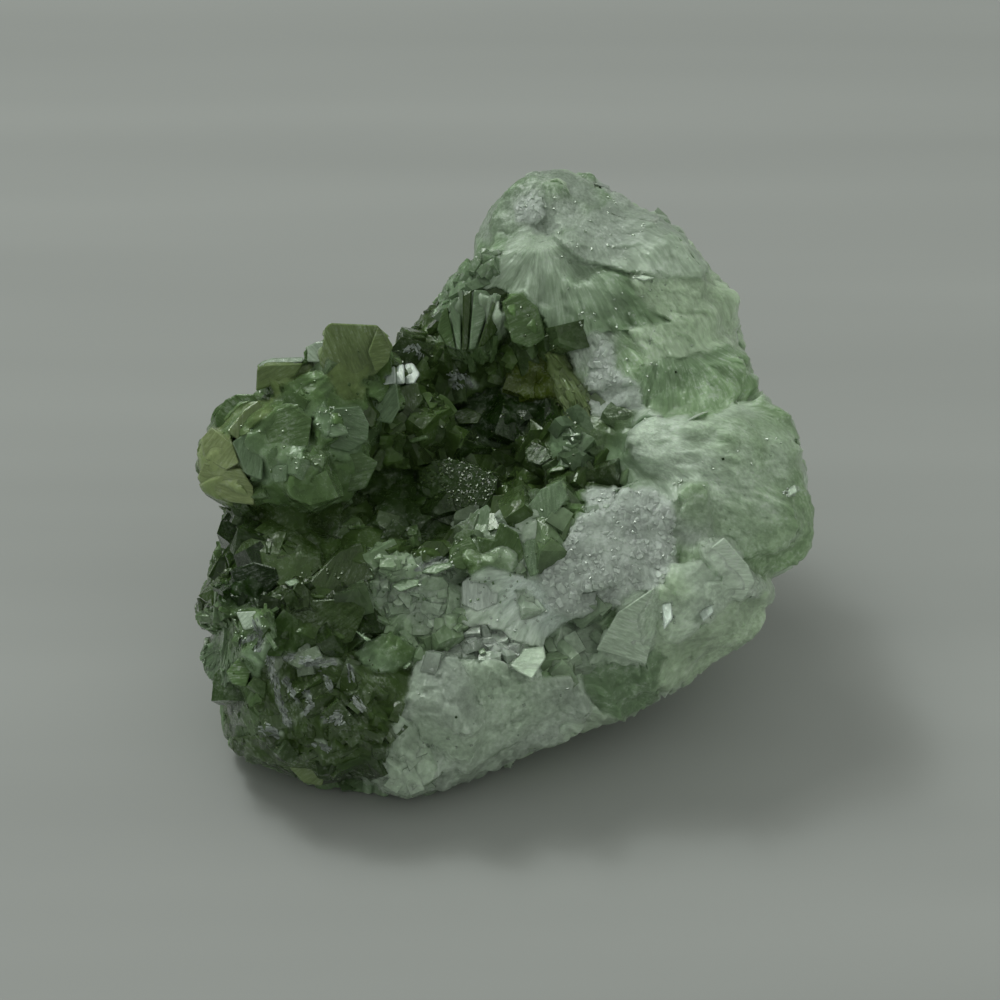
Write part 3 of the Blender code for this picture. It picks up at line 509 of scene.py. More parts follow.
# Tiny dark specks in the pale growth, in steps.
SPECKS = ((676, 372), (723, 459), (456, 717), (600, 188))


@dataclass(frozen=True)
class Block:
    """One large crystal: its face's outline in steps, how it leans, stands out and is thick, in mm.

    lean is how far it faces right and up. Without one it lies as the skin does, and one with
    the lean GLINT is turned until it mirrors the window.
    """

    name: str
    tint: Tint
    outline: Line
    lean: tuple[float, float] | None = None
    lift: float = 0.3
    thick: float = 1.6
    roughness: float = 0.20
    sparkle: float = 0.2
    bloom: float = 0.3


BLOCKS = (
    # Left lobe
    Block("crown_block", T.OLIVE, ((325, 328), (330, 323), (377, 325), (387, 336), (393, 346), (388, 362),
          (376, 374), (352, 384), (330, 380), (320, 364)), (0.05, -0.35), 0.35, 3.0),
    Block("crown_side", T.OLIVE, ((378, 326), (387, 336), (393, 346), (388, 362), (376, 374), (368, 352)),
          (0.55, -0.1), 0.5, 2.0),
    # Its yellow tint, lighter than the block's, is painted light on the top face.
    Block("crown_top", T.YELLOW, ((328, 326), (331, 323), (376, 325), (383, 332), (345, 329)), (0.0, 0.9),
          0.6),
    Block("step_block", T.GREY_GREEN, ((308, 346), (316, 342), (325, 341), (323, 362), (307, 362)),
          (-0.3, 0.2)),
    Block("low_block", T.OLIVE, ((256, 391), (257, 369), (262, 365), (303, 363), (295, 376), (268, 387)),
          (0.1, -0.4), 0.4, 2.5),
    # Its pale tint, lighter than the block's, is painted light on the top face.
    Block("low_top", T.GREY_GREEN, ((258, 367), (262, 362), (272, 358), (304, 357), (303, 362), (264, 366)),
          (0.0, 1.0), 0.5),
    Block("corner_block", T.MOSS, ((214, 418), (225, 400), (237, 394), (254, 394), (258, 400), (244, 410),
          (227, 431), (216, 431)), (-0.4, 0.0), 0.3, 2.5),
    Block("corner_side", T.OLIVE, ((227, 431), (244, 410), (258, 400), (266, 410), (250, 428), (238, 440)),
          (0.3, 0.1), 0.35, 2.0),
    Block("edge_block", T.YELLOW, ((212, 427), (233, 444), (239, 463), (226, 470), (205, 460), (200, 440)),
          (-0.5, 0.1), 0.3, 2.0),
    Block("edge_low", T.YELLOW, ((204, 462), (226, 470), (241, 468), (253, 487), (254, 505), (230, 502),
          (208, 494), (197, 478)), (-0.3, -0.2), 0.3, 2.0),
    Block("edge_seam", T.SAGE, ((232, 442), (252, 428), (264, 446), (262, 480), (246, 474)), (-0.2, 0.0),
          0.3, 2.0),
    Block("bulge_block", T.SAGE, ((334, 408), (360, 406), (369, 424), (368, 440), (350, 452), (330, 448),
          (322, 428)), (0.35, -0.15), 0.25, 2.0),
    Block("gleam_block", T.SAGE, ((315, 414), (324, 400), (330, 418), (345, 426), (349, 434), (331, 438),
          (317, 430)), (-0.2, 0.4), 0.2, 1.2),
    Block("under_block", T.MOSS, ((306, 470), (330, 458), (362, 452), (378, 462), (366, 488), (330, 498),
          (306, 492)), (0.1, -0.4), 0.3, 2.0),
    Block("pane_block", T.MOSS, ((262, 420), (290, 404), (312, 418), (308, 446), (282, 462), (262, 448)),
          (-0.25, 0.1), 0.2, 1.6),
    # Dark pocket
    # These faces are turned to mirror the window. Their white tint is a painted highlight on the green stone.
    Block("glint_left", T.WHITE, ((383, 385), (387, 368), (395, 366), (396, 383)), GLINT, 0.1, 2.0, 0.05,
          0.1, 0.0),
    Block("glint_middle", T.WHITE, ((396, 384), (395, 366), (404, 364), (405, 384)), GLINT, 0.1, 2.0, 0.05,
          0.1, 0.0),
    Block("glint_right", T.WHITE, ((405, 384), (405, 364), (413, 363), (420, 374), (414, 384)), GLINT, 0.1,
          2.0, 0.05, 0.1, 0.0),
    Block("glint_side", T.SAGE, ((362, 387), (378, 379), (397, 385), (400, 408), (391, 424), (373, 420),
          (364, 408)), (-0.4, 0.1), 0.3, 1.8, 0.14),
    Block("pocket_step", T.DEEP, ((396, 388), (418, 382), (424, 400), (412, 414), (400, 406)), (0.2, 0.3),
          0.3, 1.6, 0.12),
    Block("pocket_pane", T.DEEP, ((452, 412), (466, 407), (482, 414), (478, 424), (458, 424)), (-0.2, 0.4),
          0.4, 1.6, 0.12, 0.5),
    Block("barrel", T.BOTTLE, ((417, 471), (430, 460), (453, 459), (480, 467), (498, 478), (496, 490),
          (487, 506), (472, 510), (445, 505), (422, 494)), (-0.2, 0.35), 0.6, 2.5, 0.08, 1.1),
    Block("glitter_block", T.BOTTLE, ((524, 452), (533, 441), (546, 446), (552, 458), (540, 466),
          (528, 462)), (-0.2, 0.6), 0.4, 1.2, 0.14, 0.9),
    Block("dark_pane", T.MOSS, ((502, 302), (520, 293), (538, 308), (546, 338), (530, 348), (512, 342)),
          (0.5, 0.2), 0.3, 1.6, 0.14),
    Block("fan_slat_1", T.MOSS, ((446, 346), (437, 330), (441, 314), (447, 306), (456, 350)), (-0.5, 0.1),
          0.4, 1.4, 0.16, 0.3, 0.5),
    Block("fan_slat_2", T.SAGE, ((457, 350), (449, 305), (455, 298), (461, 296), (461, 350)), (-0.1, 0.3),
          0.5, 1.4, 0.16, 0.4, 0.5),
    Block("fan_slat_3", T.DEEP, ((462, 351), (463, 295), (472, 290), (468, 350)), (0.2, 0.1), 0.5, 1.4,
          0.14, 0.3),
    Block("fan_slat_4", T.SAGE, ((469, 350), (474, 290), (486, 290), (492, 297), (476, 348)), (0.3, 0.2),
          0.5, 1.4, 0.16, 0.4, 0.5),
    Block("fan_slat_5", T.DEEP, ((478, 347), (494, 299), (500, 310), (500, 328), (484, 346)), (0.6, 0.0),
          0.4, 1.4, 0.14, 0.3),
    Block("arch_glint", T.MOSS, ((548, 473), (552, 467), (563, 465), (565, 470)), GLINT, 0.3, 0.8, 0.08),
    Block("pane_glint", T.MOSS, ((408, 440), (426, 434), (429, 438), (412, 443)), GLINT, 0.3, 0.8, 0.1),
    # Ridge
    Block("ridge_shard", T.SAGE, ((515, 522), (541, 489), (561, 480), (568, 497), (552, 519), (547, 541),
          (538, 574), (530, 577), (520, 545)), (-0.2, 0.3), 0.4, 2.0, 0.25),
    Block("ridge_top", T.SAGE, ((474, 513), (487, 504), (500, 522), (494, 540), (476, 536)), (-0.4, 0.5),
          0.4, 1.6, 0.2, 0.3),
    Block("ridge_face", T.MOSS, ((476, 536), (494, 540), (500, 522), (518, 533), (526, 560), (505, 568),
          (482, 558)), (0.1, -0.2), 0.35, 1.8, 0.2, 0.3),
    Block("ridge_cube", T.MOSS, ((450, 548), (470, 536), (482, 556), (464, 570), (448, 566)), (-0.3, 0.3),
          0.35, 1.5, 0.2, 0.4),
    Block("ridge_bead", T.DEEP, ((412, 556), (425, 541), (442, 541), (451, 551), (440, 561), (420, 564)),
          (0.1, 0.4), 0.3, 1.5, 0.14),
    Block("crest_glint", T.SAGE, ((417, 573), (434, 564), (451, 562), (453, 567), (436, 574)), GLINT, 0.3,
          1.0, 0.12, 0.8),
    Block("left_crest", T.SAGE, ((391, 586), (404, 578), (420, 579), (418, 586), (400, 592)), GLINT, 0.3,
          1.0, 0.12, 1.0),
    Block("white_cube", T.FROST, ((462, 582), (480, 569), (500, 574), (497, 604), (478, 612), (462, 604)),
          (-0.1, 0.2), 0.05, 1.6, 0.35, 0.5, 0.8),
    # White face's neighbours and the lower right
    Block("glint_face", T.GREY_GREEN, ((508, 664), (519, 649), (544, 646), (546, 658), (532, 679),
          (518, 672)), GLINT, 0.4, 1.5, 0.14, 1.3),
    Block("triangle_face", T.GREY_GREEN, ((596, 650), (618, 612), (655, 587), (659, 604), (652, 640),
          (646, 664), (620, 657)), (0.2, -0.2), 0.1, 0.9, 0.34, 0.5, 0.6),
    Block("right_block", T.PALE, ((700, 556), (724, 537), (748, 565), (755, 582), (742, 602), (720, 594)),
          (0.3, -0.1), 0.05, 1.2, 0.34, 0.5, 0.6),
    # These faces mirror the window. Their white and pale tints are a painted highlight on the green stone.
    Block("scallop_glint", T.WHITE, ((662, 604), (671, 602), (673, 618), (664, 630)), GLINT, 0.3, 0.8, 0.14,
          1.0),
    Block("rim_glint", T.WHITE, ((699, 612), (712, 604), (714, 612), (703, 622)), GLINT, 0.3, 0.8, 0.14, 1.0),
    Block("lobe_glint", T.PALE, ((784, 492), (795, 484), (798, 492), (788, 498)), GLINT, 0.15, 0.6, 0.14,
          1.0),
    Block("ledge_glint", T.PALE, ((632, 278), (643, 274), (655, 278), (644, 281)), GLINT, 0.1, 0.5, 0.14,
          0.6),
    # Lower left
    Block("slope_face", T.DEEP, ((340, 550), (362, 543), (375, 577), (348, 593), (320, 597), (304, 588)),
          (0.1, 0.15), 0.25, 2.0, 0.2),
    Block("slope_low", T.DEEP, ((286, 600), (318, 600), (350, 598), (366, 610), (352, 642), (318, 650),
          (288, 650)), (-0.1, 0.0), 0.15, 2.0, 0.28),
    Block("dark_cube", T.INK, ((230, 570), (254, 562), (276, 568), (279, 580), (262, 602), (238, 604)),
          (-0.3, -0.2), 0.2, 1.8, 0.3, 0.1),
    Block("stripe_low", T.MOSS, ((226, 672), (240, 656), (262, 648), (266, 660), (250, 674), (246, 687),
          (232, 684)), (-0.2, 0.2), 0.5, 1.6, 0.2, 0.3, 0.6),
    Block("stripe_top", T.GREY_GREEN, ((236, 612), (254, 611), (275, 616), (266, 626), (244, 630)),
          (-0.3, 0.4), 0.2, 1.0, 0.2, 0.4, 0.6),
    Block("foot_knob", T.OLIVE, ((288, 766), (306, 762), (326, 772), (322, 786), (304, 783)), (0.0, -0.5),
          0.3, 1.2),
    Block("slope_glint", T.SAGE, ((284, 582), (296, 578), (300, 583), (290, 587)), GLINT, 0.2, 0.8, 0.14,
          1.2),
    Block("bulge_glint", T.SAGE, ((354, 630), (358, 632), (372, 640), (366, 641)), GLINT, 0.3, 0.8, 0.1, 0.6),
    Block("knob_glint", T.SAGE, ((402, 667), (410, 661), (412, 664), (405, 670)), GLINT, 0.3, 0.8, 0.1, 0.6),
    Block("join_glint", T.SAGE, ((478, 651), (484, 647), (486, 653), (480, 655)), GLINT, 0.3, 0.6, 0.08, 0.2),
)


def lattice_noise(points: np.ndarray, size: float, seed: int) -> np.ndarray:
    """Smooth random values in space.

    Args:
        points: rows of three numbers.
        size: how far apart the values that it smooths between are.
        seed: picks another field.

    Returns:
        One value from -1 to 1 for each row.
    """
    cell = points / size
    base = np.floor(cell).astype(np.int64)
    part = cell - base
    part = part * part * (3 - 2 * part)
    total = np.zeros(len(points))
    for corner in itertools.product((0, 1), repeat=3):
        key = (base + np.array(corner)) * SCATTER[:3]
        code = key[:, 0] ^ key[:, 1] ^ key[:, 2] ^ (seed + 1) * SCATTER[3]
        code = (code ^ (code >> 13)) * SCATTER[4]
        code = (code ^ (code >> 15)) * SCATTER[5]
        value = ((code >> 11) & 0xFFFF) / 0xFFFF
        total += np.prod(np.where(np.array(corner) > 0, part, 1 - part), axis=1) * value
    return total * 2 - 1


def inside(spots: np.ndarray, outline: Line) -> np.ndarray:
    """Tells which spots lie in an outline.

    Args:
        spots: rows of steps across and down.
        outline: the corners, in order.

    Returns:
        True for each spot inside.
    """
    across, down = spots[:, :2].T
    found = np.zeros(len(spots), bool)
    for (x0, y0), (x1, y1) in zip(outline, outline[1:] + outline[:1]):
        if y0 == y1:
            continue
        crosses = (down < y0) != (down < y1)
        found ^= crosses & (across < (x1 - x0) * (down - y0) / (y1 - y0) + x0)
    return found


def gap_to(spots: np.ndarray, outline: Line) -> np.ndarray:
    """Measures how far spots are from an outline.

    Args:
        spots: rows of steps across and down.
        outline: the corners, in order. A line is given there and back.

    Returns:
        The distance to the nearest side, in steps.
    """
    across, down = spots[:, :2].T
    nearest = np.full(len(spots), np.inf)
    for (x0, y0), (x1, y1) in zip(outline, outline[1:] + outline[:1]):
        run = np.array([x1 - x0, y1 - y0], float)
        share = ((across - x0) * run[0] + (down - y0) * run[1]) / max(run @ run, TINY)
        share = np.clip(share, 0, 1)
        gap = np.hypot(across - x0 - share * run[0], down - y0 - share * run[1])
        nearest = np.minimum(nearest, gap)
    return nearest


def unit(rows: np.ndarray) -> np.ndarray:
    """Gives each row the length 1."""
    return rows / (np.linalg.norm(rows, axis=-1, keepdims=True) + 1e-12)


def in_box(points: np.ndarray) -> np.ndarray:
    """Keeps places inside the solid's box."""
    low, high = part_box(CAD_NODE)
    return np.clip(points, np.array(low), np.array(high))


def select_only(piece: bpy.types.Object) -> None:
    """Makes a piece the active one and the only one selected."""
    bpy.ops.object.select_all(action="DESELECT")
    piece.select_set(True)
    bpy.context.view_layer.objects.active = piece


def new_piece(name: str, mesh: bpy.types.Mesh) -> bpy.types.Object:
    """Makes a piece of a mesh and selects it."""
    piece = bpy.data.objects.new(name, mesh)
    bpy.context.scene.collection.objects.link(piece)
    select_only(piece)
    return piece


def apply_modifier(piece: bpy.types.Object, kind: str, **settings: object) -> None:
    """Adds a modifier to a piece and applies it.

    Args:
        piece: the piece.
        kind: the modifier's type.
        **settings: its properties.
    """
    select_only(piece)
    modifier = piece.modifiers.new(kind.lower(), kind)
    for key, value in settings.items():
        setattr(modifier, key, value)
    bpy.ops.object.modifier_apply(modifier=modifier.name)


def rows_of(items: bpy.types.bpy_prop_collection, name: str, width: int, kind: type = float) -> np.ndarray:
    """Reads a value of each of a mesh's parts, as rows so many numbers wide."""
    rows = np.empty(len(items) * width, kind)
    items.foreach_get(name, rows)
    return rows.reshape(-1, width)


def corners_and_faces(mesh: bpy.types.Mesh) -> tuple[np.ndarray, np.ndarray]:
    """Reads a mesh's corners, and its faces as rows of corner numbers."""
    corners = np.array([tuple(vertex.co) for vertex in mesh.vertices])
    return corners, np.array([tuple(face.vertices) for face in mesh.polygons])


@dataclass(frozen=True)
class EdgeFit:
    """Eases the stone's seen edge onto its outline, which the melting has moved."""

    middle: tuple[float, float] = (505, 480)
    slots: int = 240
    inner: float = 0.68
    most: float = 0.12
    foot: float = 0.3 * MM

    def goal(self, turns: np.ndarray) -> np.ndarray:
        """Measures the outline.

        Args:
            turns: directions from the middle, in radians.

        Returns:
            How far the outline is in each direction, in steps.
        """
        corner = np.array(OUTLINE, float) - np.array(self.middle)
        side = np.roll(corner, -1, axis=0) - corner
        way = np.column_stack([np.cos(turns), np.sin(turns)])[:, None]
        turn = way[..., 0] * side[:, 1] - way[..., 1] * side[:, 0]
        turn = np.where(np.abs(turn) < TINY, TINY, turn)
        reach = (corner[:, 0] * side[:, 1] - corner[:, 1] * side[:, 0]) / turn
        share = (corner[:, 0] * way[..., 1] - corner[:, 1] * way[..., 0]) / turn
        met = (share >= 0) & (share <= 1) & (reach > 0)
        return np.where(met, reach, 0).max(axis=1)

    def fit(self, viewer: Viewer, points: np.ndarray) -> np.ndarray:
        """Moves the points near the seen edge in or out.

        Args:
            viewer: who sees the edge.
            points: rows of places, in metres.

        Returns:
            The moved places.
        """
        grid = viewer.grid(points)
        arm = grid[:, :2] - np.array(self.middle)
        reach = np.hypot(arm[:, 0], arm[:, 1])
        turn = np.arctan2(arm[:, 1], arm[:, 0])
        slot = ((turn + math.pi) / math.tau * self.slots).astype(int) % self.slots
        edge = np.zeros(self.slots)
        np.maximum.at(edge, slot, reach)
        turns = (np.arange(self.slots) + 0.5) / self.slots * math.tau - math.pi
        ratio = np.clip(self.goal(turns) / edge, 1 - self.most, 1 + self.most)
        ratio = np.interp(turn, turns, ratio, period=math.tau)
        nearness = np.clip((reach / edge[slot] - self.inner) / (1 - self.inner), 0, 1)
        nearness = nearness ** 2 * (3 - 2 * nearness)
        scale = (1 + (ratio - 1) * nearness)[:, None]
        spot = np.array(self.middle) + arm * scale
        moved = viewer.place(spot[:, 0], spot[:, 1], grid[:, 2])
        low = points[:, 2] < self.foot
        moved[low, 2] = points[low, 2]
        return moved


@dataclass
class Crystals:
    """The crystals that one patch is made of: many-sided tops with falling sides.

    They lie along arms that run out from a heart, and where they cross the highest shows.
    """

    heart: np.ndarray
    growth: Growth
    rng: np.random.Generator
    sides: int = 5
    crowding: float = 1.7
    batch: int = 1500
    level: tuple[float, float, float] = (0.31, 0.17, 0.94)
    spin: float = 0.12
    uneven: float = 0.3
    reaches: tuple[float, float] = (0.35, 0.75)
    sizes: tuple[float, float] = (0.7, 1.3)
    sheaf_steps: float = 0.3

    def grown(self, points: np.ndarray, normal: np.ndarray,
              area: float) -> tuple[np.ndarray, np.ndarray]:
        """Finds how far the crystals stand out.

        Args:
            points: rows of places, in metres.
            normal: the way that the patch faces.
            area: the patch's area, in square metres.

        Returns:
            The height at each point, in millimetres, and which crystal shows there.
        """
        size = np.array([self.growth.along, self.growth.across])
        right = np.cross(normal, self.level)
        right /= np.linalg.norm(right)
        flat = np.column_stack([points @ right, points @ np.cross(normal, right)]) / MM
        centre = np.array([self.heart @ right, self.heart @ np.cross(normal, right)]) / MM
        count = int(np.clip(self.crowding * area / MM ** 2 / size.prod(), 4, len(points)))
        seeds = flat[self.rng.choice(len(points), count, replace=False)]
        arm = seeds - centre
        turn = np.arctan2(arm[:, 1], arm[:, 0]) + self.rng.normal(0, self.spin, count)
        along = np.column_stack([np.cos(turn), np.sin(turn)])
        height = self.growth.relief * self.rng.uniform(-0.5, 0.5, count)
        lean = self.growth.slope * self.rng.uniform(-1, 1, (count, 2))
        corner = np.arange(self.sides) + self.rng.uniform(-self.uneven, self.uneven, (count, self.sides))
        corner = corner / self.sides * math.tau + self.rng.uniform(0, math.tau, (count, 1))
        reach = self.rng.uniform(*self.reaches, (count, self.sides))
        reach *= self.rng.uniform(*self.sizes, (count, 1))
        best = np.empty(len(points))
        shown = np.empty(len(points), int)
        for start in range(0, len(points), self.batch):
            gap = flat[start:start + self.batch, None] - seeds
            run = gap[..., 0] * along[:, 0] + gap[..., 1] * along[:, 1]
            rise = gap[..., 1] * along[:, 0] - gap[..., 0] * along[:, 1]
            beyond = np.full(run.shape, -np.inf)
            for side in range(self.sides):
                way = run / size[0] * np.cos(corner[:, side]) + rise / size[1] * np.sin(corner[:, side])
                beyond = np.maximum(beyond, way - reach[:, side])
            top = height + run * lean[:, 0] + rise * lean[:, 1]
            top -= self.growth.steep * size[1] * np.maximum(beyond, 0)
            best[start:start + self.batch] = top.max(axis=1)
            shown[start:start + self.batch] = top.argmax(axis=1)
        return best - np.median(best), shown

    def sheaf(self, points: np.ndarray) -> np.ndarray:
        """Gives each point its place in the sheaf, counted in crystals."""
        arm = points - self.heart
        reach = np.linalg.norm(arm, axis=1)[:, None] + TINY
        around = arm / reach * np.median(reach) / (self.growth.across * MM)
        return around + reach / (self.growth.along * MM) * self.sheaf_steps


@dataclass
class StoneSkin:
    """The whole outside of the stone, as one fine mesh with relief and painted growth."""

    voxel: float = 0.15 * MM
    gap_fill: float = 0.5 * MM
    firm_rounds: int = 8
    soft_rounds: int = 90
    soft_spread: int = 12
    soft_levels: int = 20
    least_points: int = 12
    plane_reach: float = 2.5 * MM
    most_move: float = 1.5 * MM
    warp_steps: float = 3.5
    warp_sizes: tuple[float, float] = (1.3 * MM, 0.45 * MM)
    fine_warp: float = 0.6
    batch: int = 4000
    move_rounds: tuple[int, int] = (4, 24)
    far_noise: float = 14 * MM
    far_heart: float = 4 * MM
    swirl_sizes: tuple[float, float] = (2.2 * MM, 0.9 * MM)
    swirl: float = 0.4
    rim_slant: float = 1.6
    most_spread: float = 0.9
    streak_rise: float = 0.08
    streak_tint: float = 0.8
    streak_edge: float = 1.6
    soft_tint: float = 0.8
    tint_rounds: tuple[int, int] = (1, 20)
    finish_rounds: int = 4
    smooth_angle: float = math.radians(32)
    most_triangles: int = 196000
    far_patches: int = 90
    far_habits: tuple[Habit, ...] = (Habit.FIBROUS, Habit.SMOOTH, Habit.SHARDS, Habit.SUGARY, Habit.FIBROUS)
    far_tints: tuple[Tint, ...] = (Tint.DEEP, Tint.MOSS, Tint.SAGE, Tint.GREY_GREEN, Tint.MINT, Tint.PALE)
    far_half: float = 16 * MM
    viewer: Viewer = Viewer()

    def __post_init__(self) -> None:
        """Sets up the seeded draws."""
        self.rng = np.random.default_rng(SEED)

    def build(self) -> bpy.types.Object:
        """Makes the skin.

        Returns:
            The finished piece, without its material.
        """
        self.melt_copy()
        self.read_mesh()
        self.share_out()
        self.melt_soft_growth()
        self.lay_patches()
        self.grow()
        self.points = in_box(EdgeFit().fit(self.viewer, self.points))
        self.write_points()
        self.read_mesh()
        self.paint()
        return self.skin

    def melt_copy(self) -> None:
        """Copies the solid, closes its seams and narrow gaps and melts it into an even mesh."""
        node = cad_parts[CAD_NODE]
        self.skin = new_piece("prehnite_skin", node.data.copy())
        bpy.ops.object.mode_set(mode="EDIT")
        bpy.ops.mesh.select_all(action="SELECT")
        bpy.ops.mesh.remove_doubles(threshold=0.001 * MM)
        bpy.ops.object.mode_set(mode="OBJECT")
        for swell in (self.gap_fill, -self.gap_fill):
            apply_modifier(self.skin, "REMESH", mode="VOXEL", voxel_size=2 * self.voxel)
            apply_modifier(self.skin, "DISPLACE", strength=swell, mid_level=0.0)
        apply_modifier(self.skin, "REMESH", mode="VOXEL", voxel_size=self.voxel)
        self.skin.data.materials.clear()

    def read_mesh(self) -> None:
        """Reads the mesh's points, normals and edges as they are now."""
        mesh = self.skin.data
        self.points = rows_of(mesh.vertices, "co", 3)
        self.normals = rows_of(mesh.vertex_normals, "vector", 3)
        self.edges = rows_of(mesh.edges, "vertices", 2, int)
        self.links = np.bincount(self.edges.ravel(), minlength=len(self.points))

    def write_points(self) -> None:
        """Puts the points back in the mesh."""
        self.skin.data.vertices.foreach_set("co", self.points.ravel())
        self.skin.data.update()

    def blended(self, values: np.ndarray, rounds: int) -> np.ndarray:
        """Spreads values over the mesh.

        Args:
            values: one row or number for each point.
            rounds: how often each point takes half of its neighbours' mean.

        Returns:
            The spread values.
        """
        flat = values.reshape(len(values), -1).astype(float)
        first, second = self.edges.T
        for _ in range(rounds):
            for i in range(flat.shape[1]):
                column = flat[:, i]
                around = np.bincount(first, column[second], len(column))
                around += np.bincount(second, column[first], len(column))
                flat[:, i] = (column + around / self.links) / 2
        return flat.reshape(values.shape)

    def eased(self, values: np.ndarray, rounds: tuple[int, int]) -> tuple[np.ndarray, np.ndarray]:
        """Spreads values a little for firm growth, and from there on further for soft growth."""
        firm = self.blended(values, rounds[0])
        return firm, self.blended(firm, rounds[1])

    def visible(self) -> np.ndarray:
        """Tells which points the viewer of the front sees.

        Returns:
            True for each point that faces the eye with nothing in between.
        """
        eye = self.viewer.eye()
        facing = np.einsum("ij,ij->i", self.normals, eye - self.points) > 0
        faces = [tuple(face.vertices) for face in self.skin.data.polygons]
        tree = BVHTree.FromPolygons(self.points.tolist(), faces)
        seen = np.zeros(len(self.points), bool)
        lifted = self.points + self.normals * 0.12 * MM
        for i in np.nonzero(facing)[0]:
            way = eye - lifted[i]
            seen[i] = tree.ray_cast(Vector(lifted[i]), Vector(way).normalized())[0] is None
        return seen

    def share_out(self) -> None:
        """Gives every point to a patch of the front or, where the viewer can't see, to a far patch."""
        spots = self.viewer.grid(self.points)[:, :2]
        for i in range(2):
            broad = lattice_noise(self.points, self.warp_sizes[0], SEED + i)
            fine = lattice_noise(self.points, self.warp_sizes[1], SEED + 5 + i)
            spots[:, i] += self.warp_steps * (broad + self.fine_warp * fine)
        seen = self.visible()
        self.owner = np.full(len(self.points), -1)
        for i, patch in enumerate(PATCHES):
            self.owner[seen & inside(spots, patch.outline)] = i
        left = np.nonzero(seen & (self.owner < 0))[0]
        gaps = np.array([gap_to(spots[left], patch.outline) for patch in PATCHES])
        self.owner[left] = gaps.argmin(axis=0)
        far = np.nonzero(self.owner < 0)[0]
        seeds = self.points[self.rng.choice(far, self.far_patches, replace=False)]
        for part in np.array_split(far, math.ceil(len(far) / self.batch)):
            gap = (seeds ** 2).sum(axis=1)[None] - 2 * self.points[part] @ seeds.T
            self.owner[part] = len(PATCHES) + gap.argmin(axis=1)
        far_pick = self.rng.integers(len(self.far_habits), size=self.far_patches)
        self.growths = [patch.habit.value for patch in PATCHES]
        self.growths += [self.far_habits[i].value for i in far_pick]
        self.soft = np.array([growth.soft for growth in self.growths])[self.owner]
        LOG.info("skin: %d points seen, %d far", seen.sum(), len(far))

    def melt_soft_growth(self) -> None:
        """Rounds off the solid's edges a little everywhere, and fully on the soft patches."""
        self.soft = self.blended(self.soft, self.soft_spread)
        group = self.skin.vertex_groups.new(name="soft")
        levels = np.round(self.soft * self.soft_levels).astype(int)
        for level in range(1, self.soft_levels + 1):
            group.add(np.nonzero(levels == level)[0].tolist(), level / self.soft_levels, "REPLACE")
        apply_modifier(self.skin, "SMOOTH", factor=0.5, iterations=self.firm_rounds)
        apply_modifier(self.skin, "SMOOTH", factor=0.5, iterations=self.soft_rounds, vertex_group=group.name)
        self.skin.vertex_groups.remove(self.skin.vertex_groups["soft"])
        self.read_mesh()

    def lay_patches(self) -> None:
        """Flattens, leans, lifts and domes the patches of the front."""
        grid = self.viewer.grid(self.points)
        ways = unit(self.viewer.eye() - self.points)
        move = np.zeros(len(self.points))
        for i, patch in enumerate(PATCHES):
            own = np.nonzero(self.owner == i)[0]
            if len(own) < self.least_points:
                LOG.info("patch %s has only %d points", patch.name, len(own))
                continue
            spots = (grid[own, :2] - np.median(grid[own, :2], axis=0)) * self.viewer.step
            out = grid[own, 2]
            near = np.abs(out - np.median(out)) < self.plane_reach
            table = np.column_stack([np.ones(len(own)), spots])
            plane = np.linalg.lstsq(table[near], out[near], rcond=None)[0]
            if patch.lean:
                plane[0] = np.median(out)
                plane[1:] = -patch.lean[0], patch.lean[1]
            plane[1:] = np.clip(plane[1:], -STEEPEST, STEEPEST)
            flat = (table @ plane - out) * patch.flat
            size = np.percentile(np.hypot(*spots.T), 90) + TINY
            round_off = np.clip(1 - (spots ** 2).sum(axis=1) / size ** 2, 0, 1)
            move[own] = np.clip(flat, -self.most_move, self.most_move)
            move[own] += (patch.rise + patch.dome * round_off) * MM
        firm, eased = self.eased(move, self.move_rounds)
        move = firm + (eased - firm) * self.soft
        self.points += ways * move[:, None]
        self.write_points()
        self.read_mesh()

    def colours(self, i: int, own: np.ndarray) -> tuple[np.ndarray, np.ndarray]:
        """Picks the inner and outer colour of a patch.

        Args:
            i: the patch's number, front patches first.
            own: its points.

        Returns:
            Both colours as linear light.
        """
        if i < len(PATCHES):
            patch = PATCHES[i]
            return patch.tint.linear(), (patch.rim or patch.tint).linear()
        middle = self.points[own].mean(axis=0)
        pale = 0.5 * lattice_noise(middle[None], self.far_noise, SEED)[0] + self.rng.uniform(-0.2, 0.2)
        pale += float(np.clip(middle[0] / self.far_half, -1, 1)) * 0.7
        last = len(self.far_tints) - 1
        pick = int(np.clip((pale + 0.9) / 1.8 * (last + 1), 0, last))
        return self.far_tints[pick].linear(), self.far_tints[min(pick + 1, last)].linear()

    def heart(self, i: int, own: np.ndarray, grid: np.ndarray) -> np.ndarray:
        """Finds where the crystals of a patch grow from.

        Args:
            i: the patch's number, front patches first.
            own: its points.
            grid: where all points are seen.

        Returns:
            The place, in metres.
        """
        if i < len(PATCHES):
            spot = PATCHES[i].heart or (*np.median(grid[own, :2], axis=0), 4)
            out = np.median(grid[own, 2]) - spot[2] * MM
            return self.viewer.place(spot[0], spot[1], out)[0]
        normal = self.normals[own].mean(axis=0)
        return self.points[own].mean(axis=0) - self.far_heart * (normal - self.rng.normal(size=3) / 2)

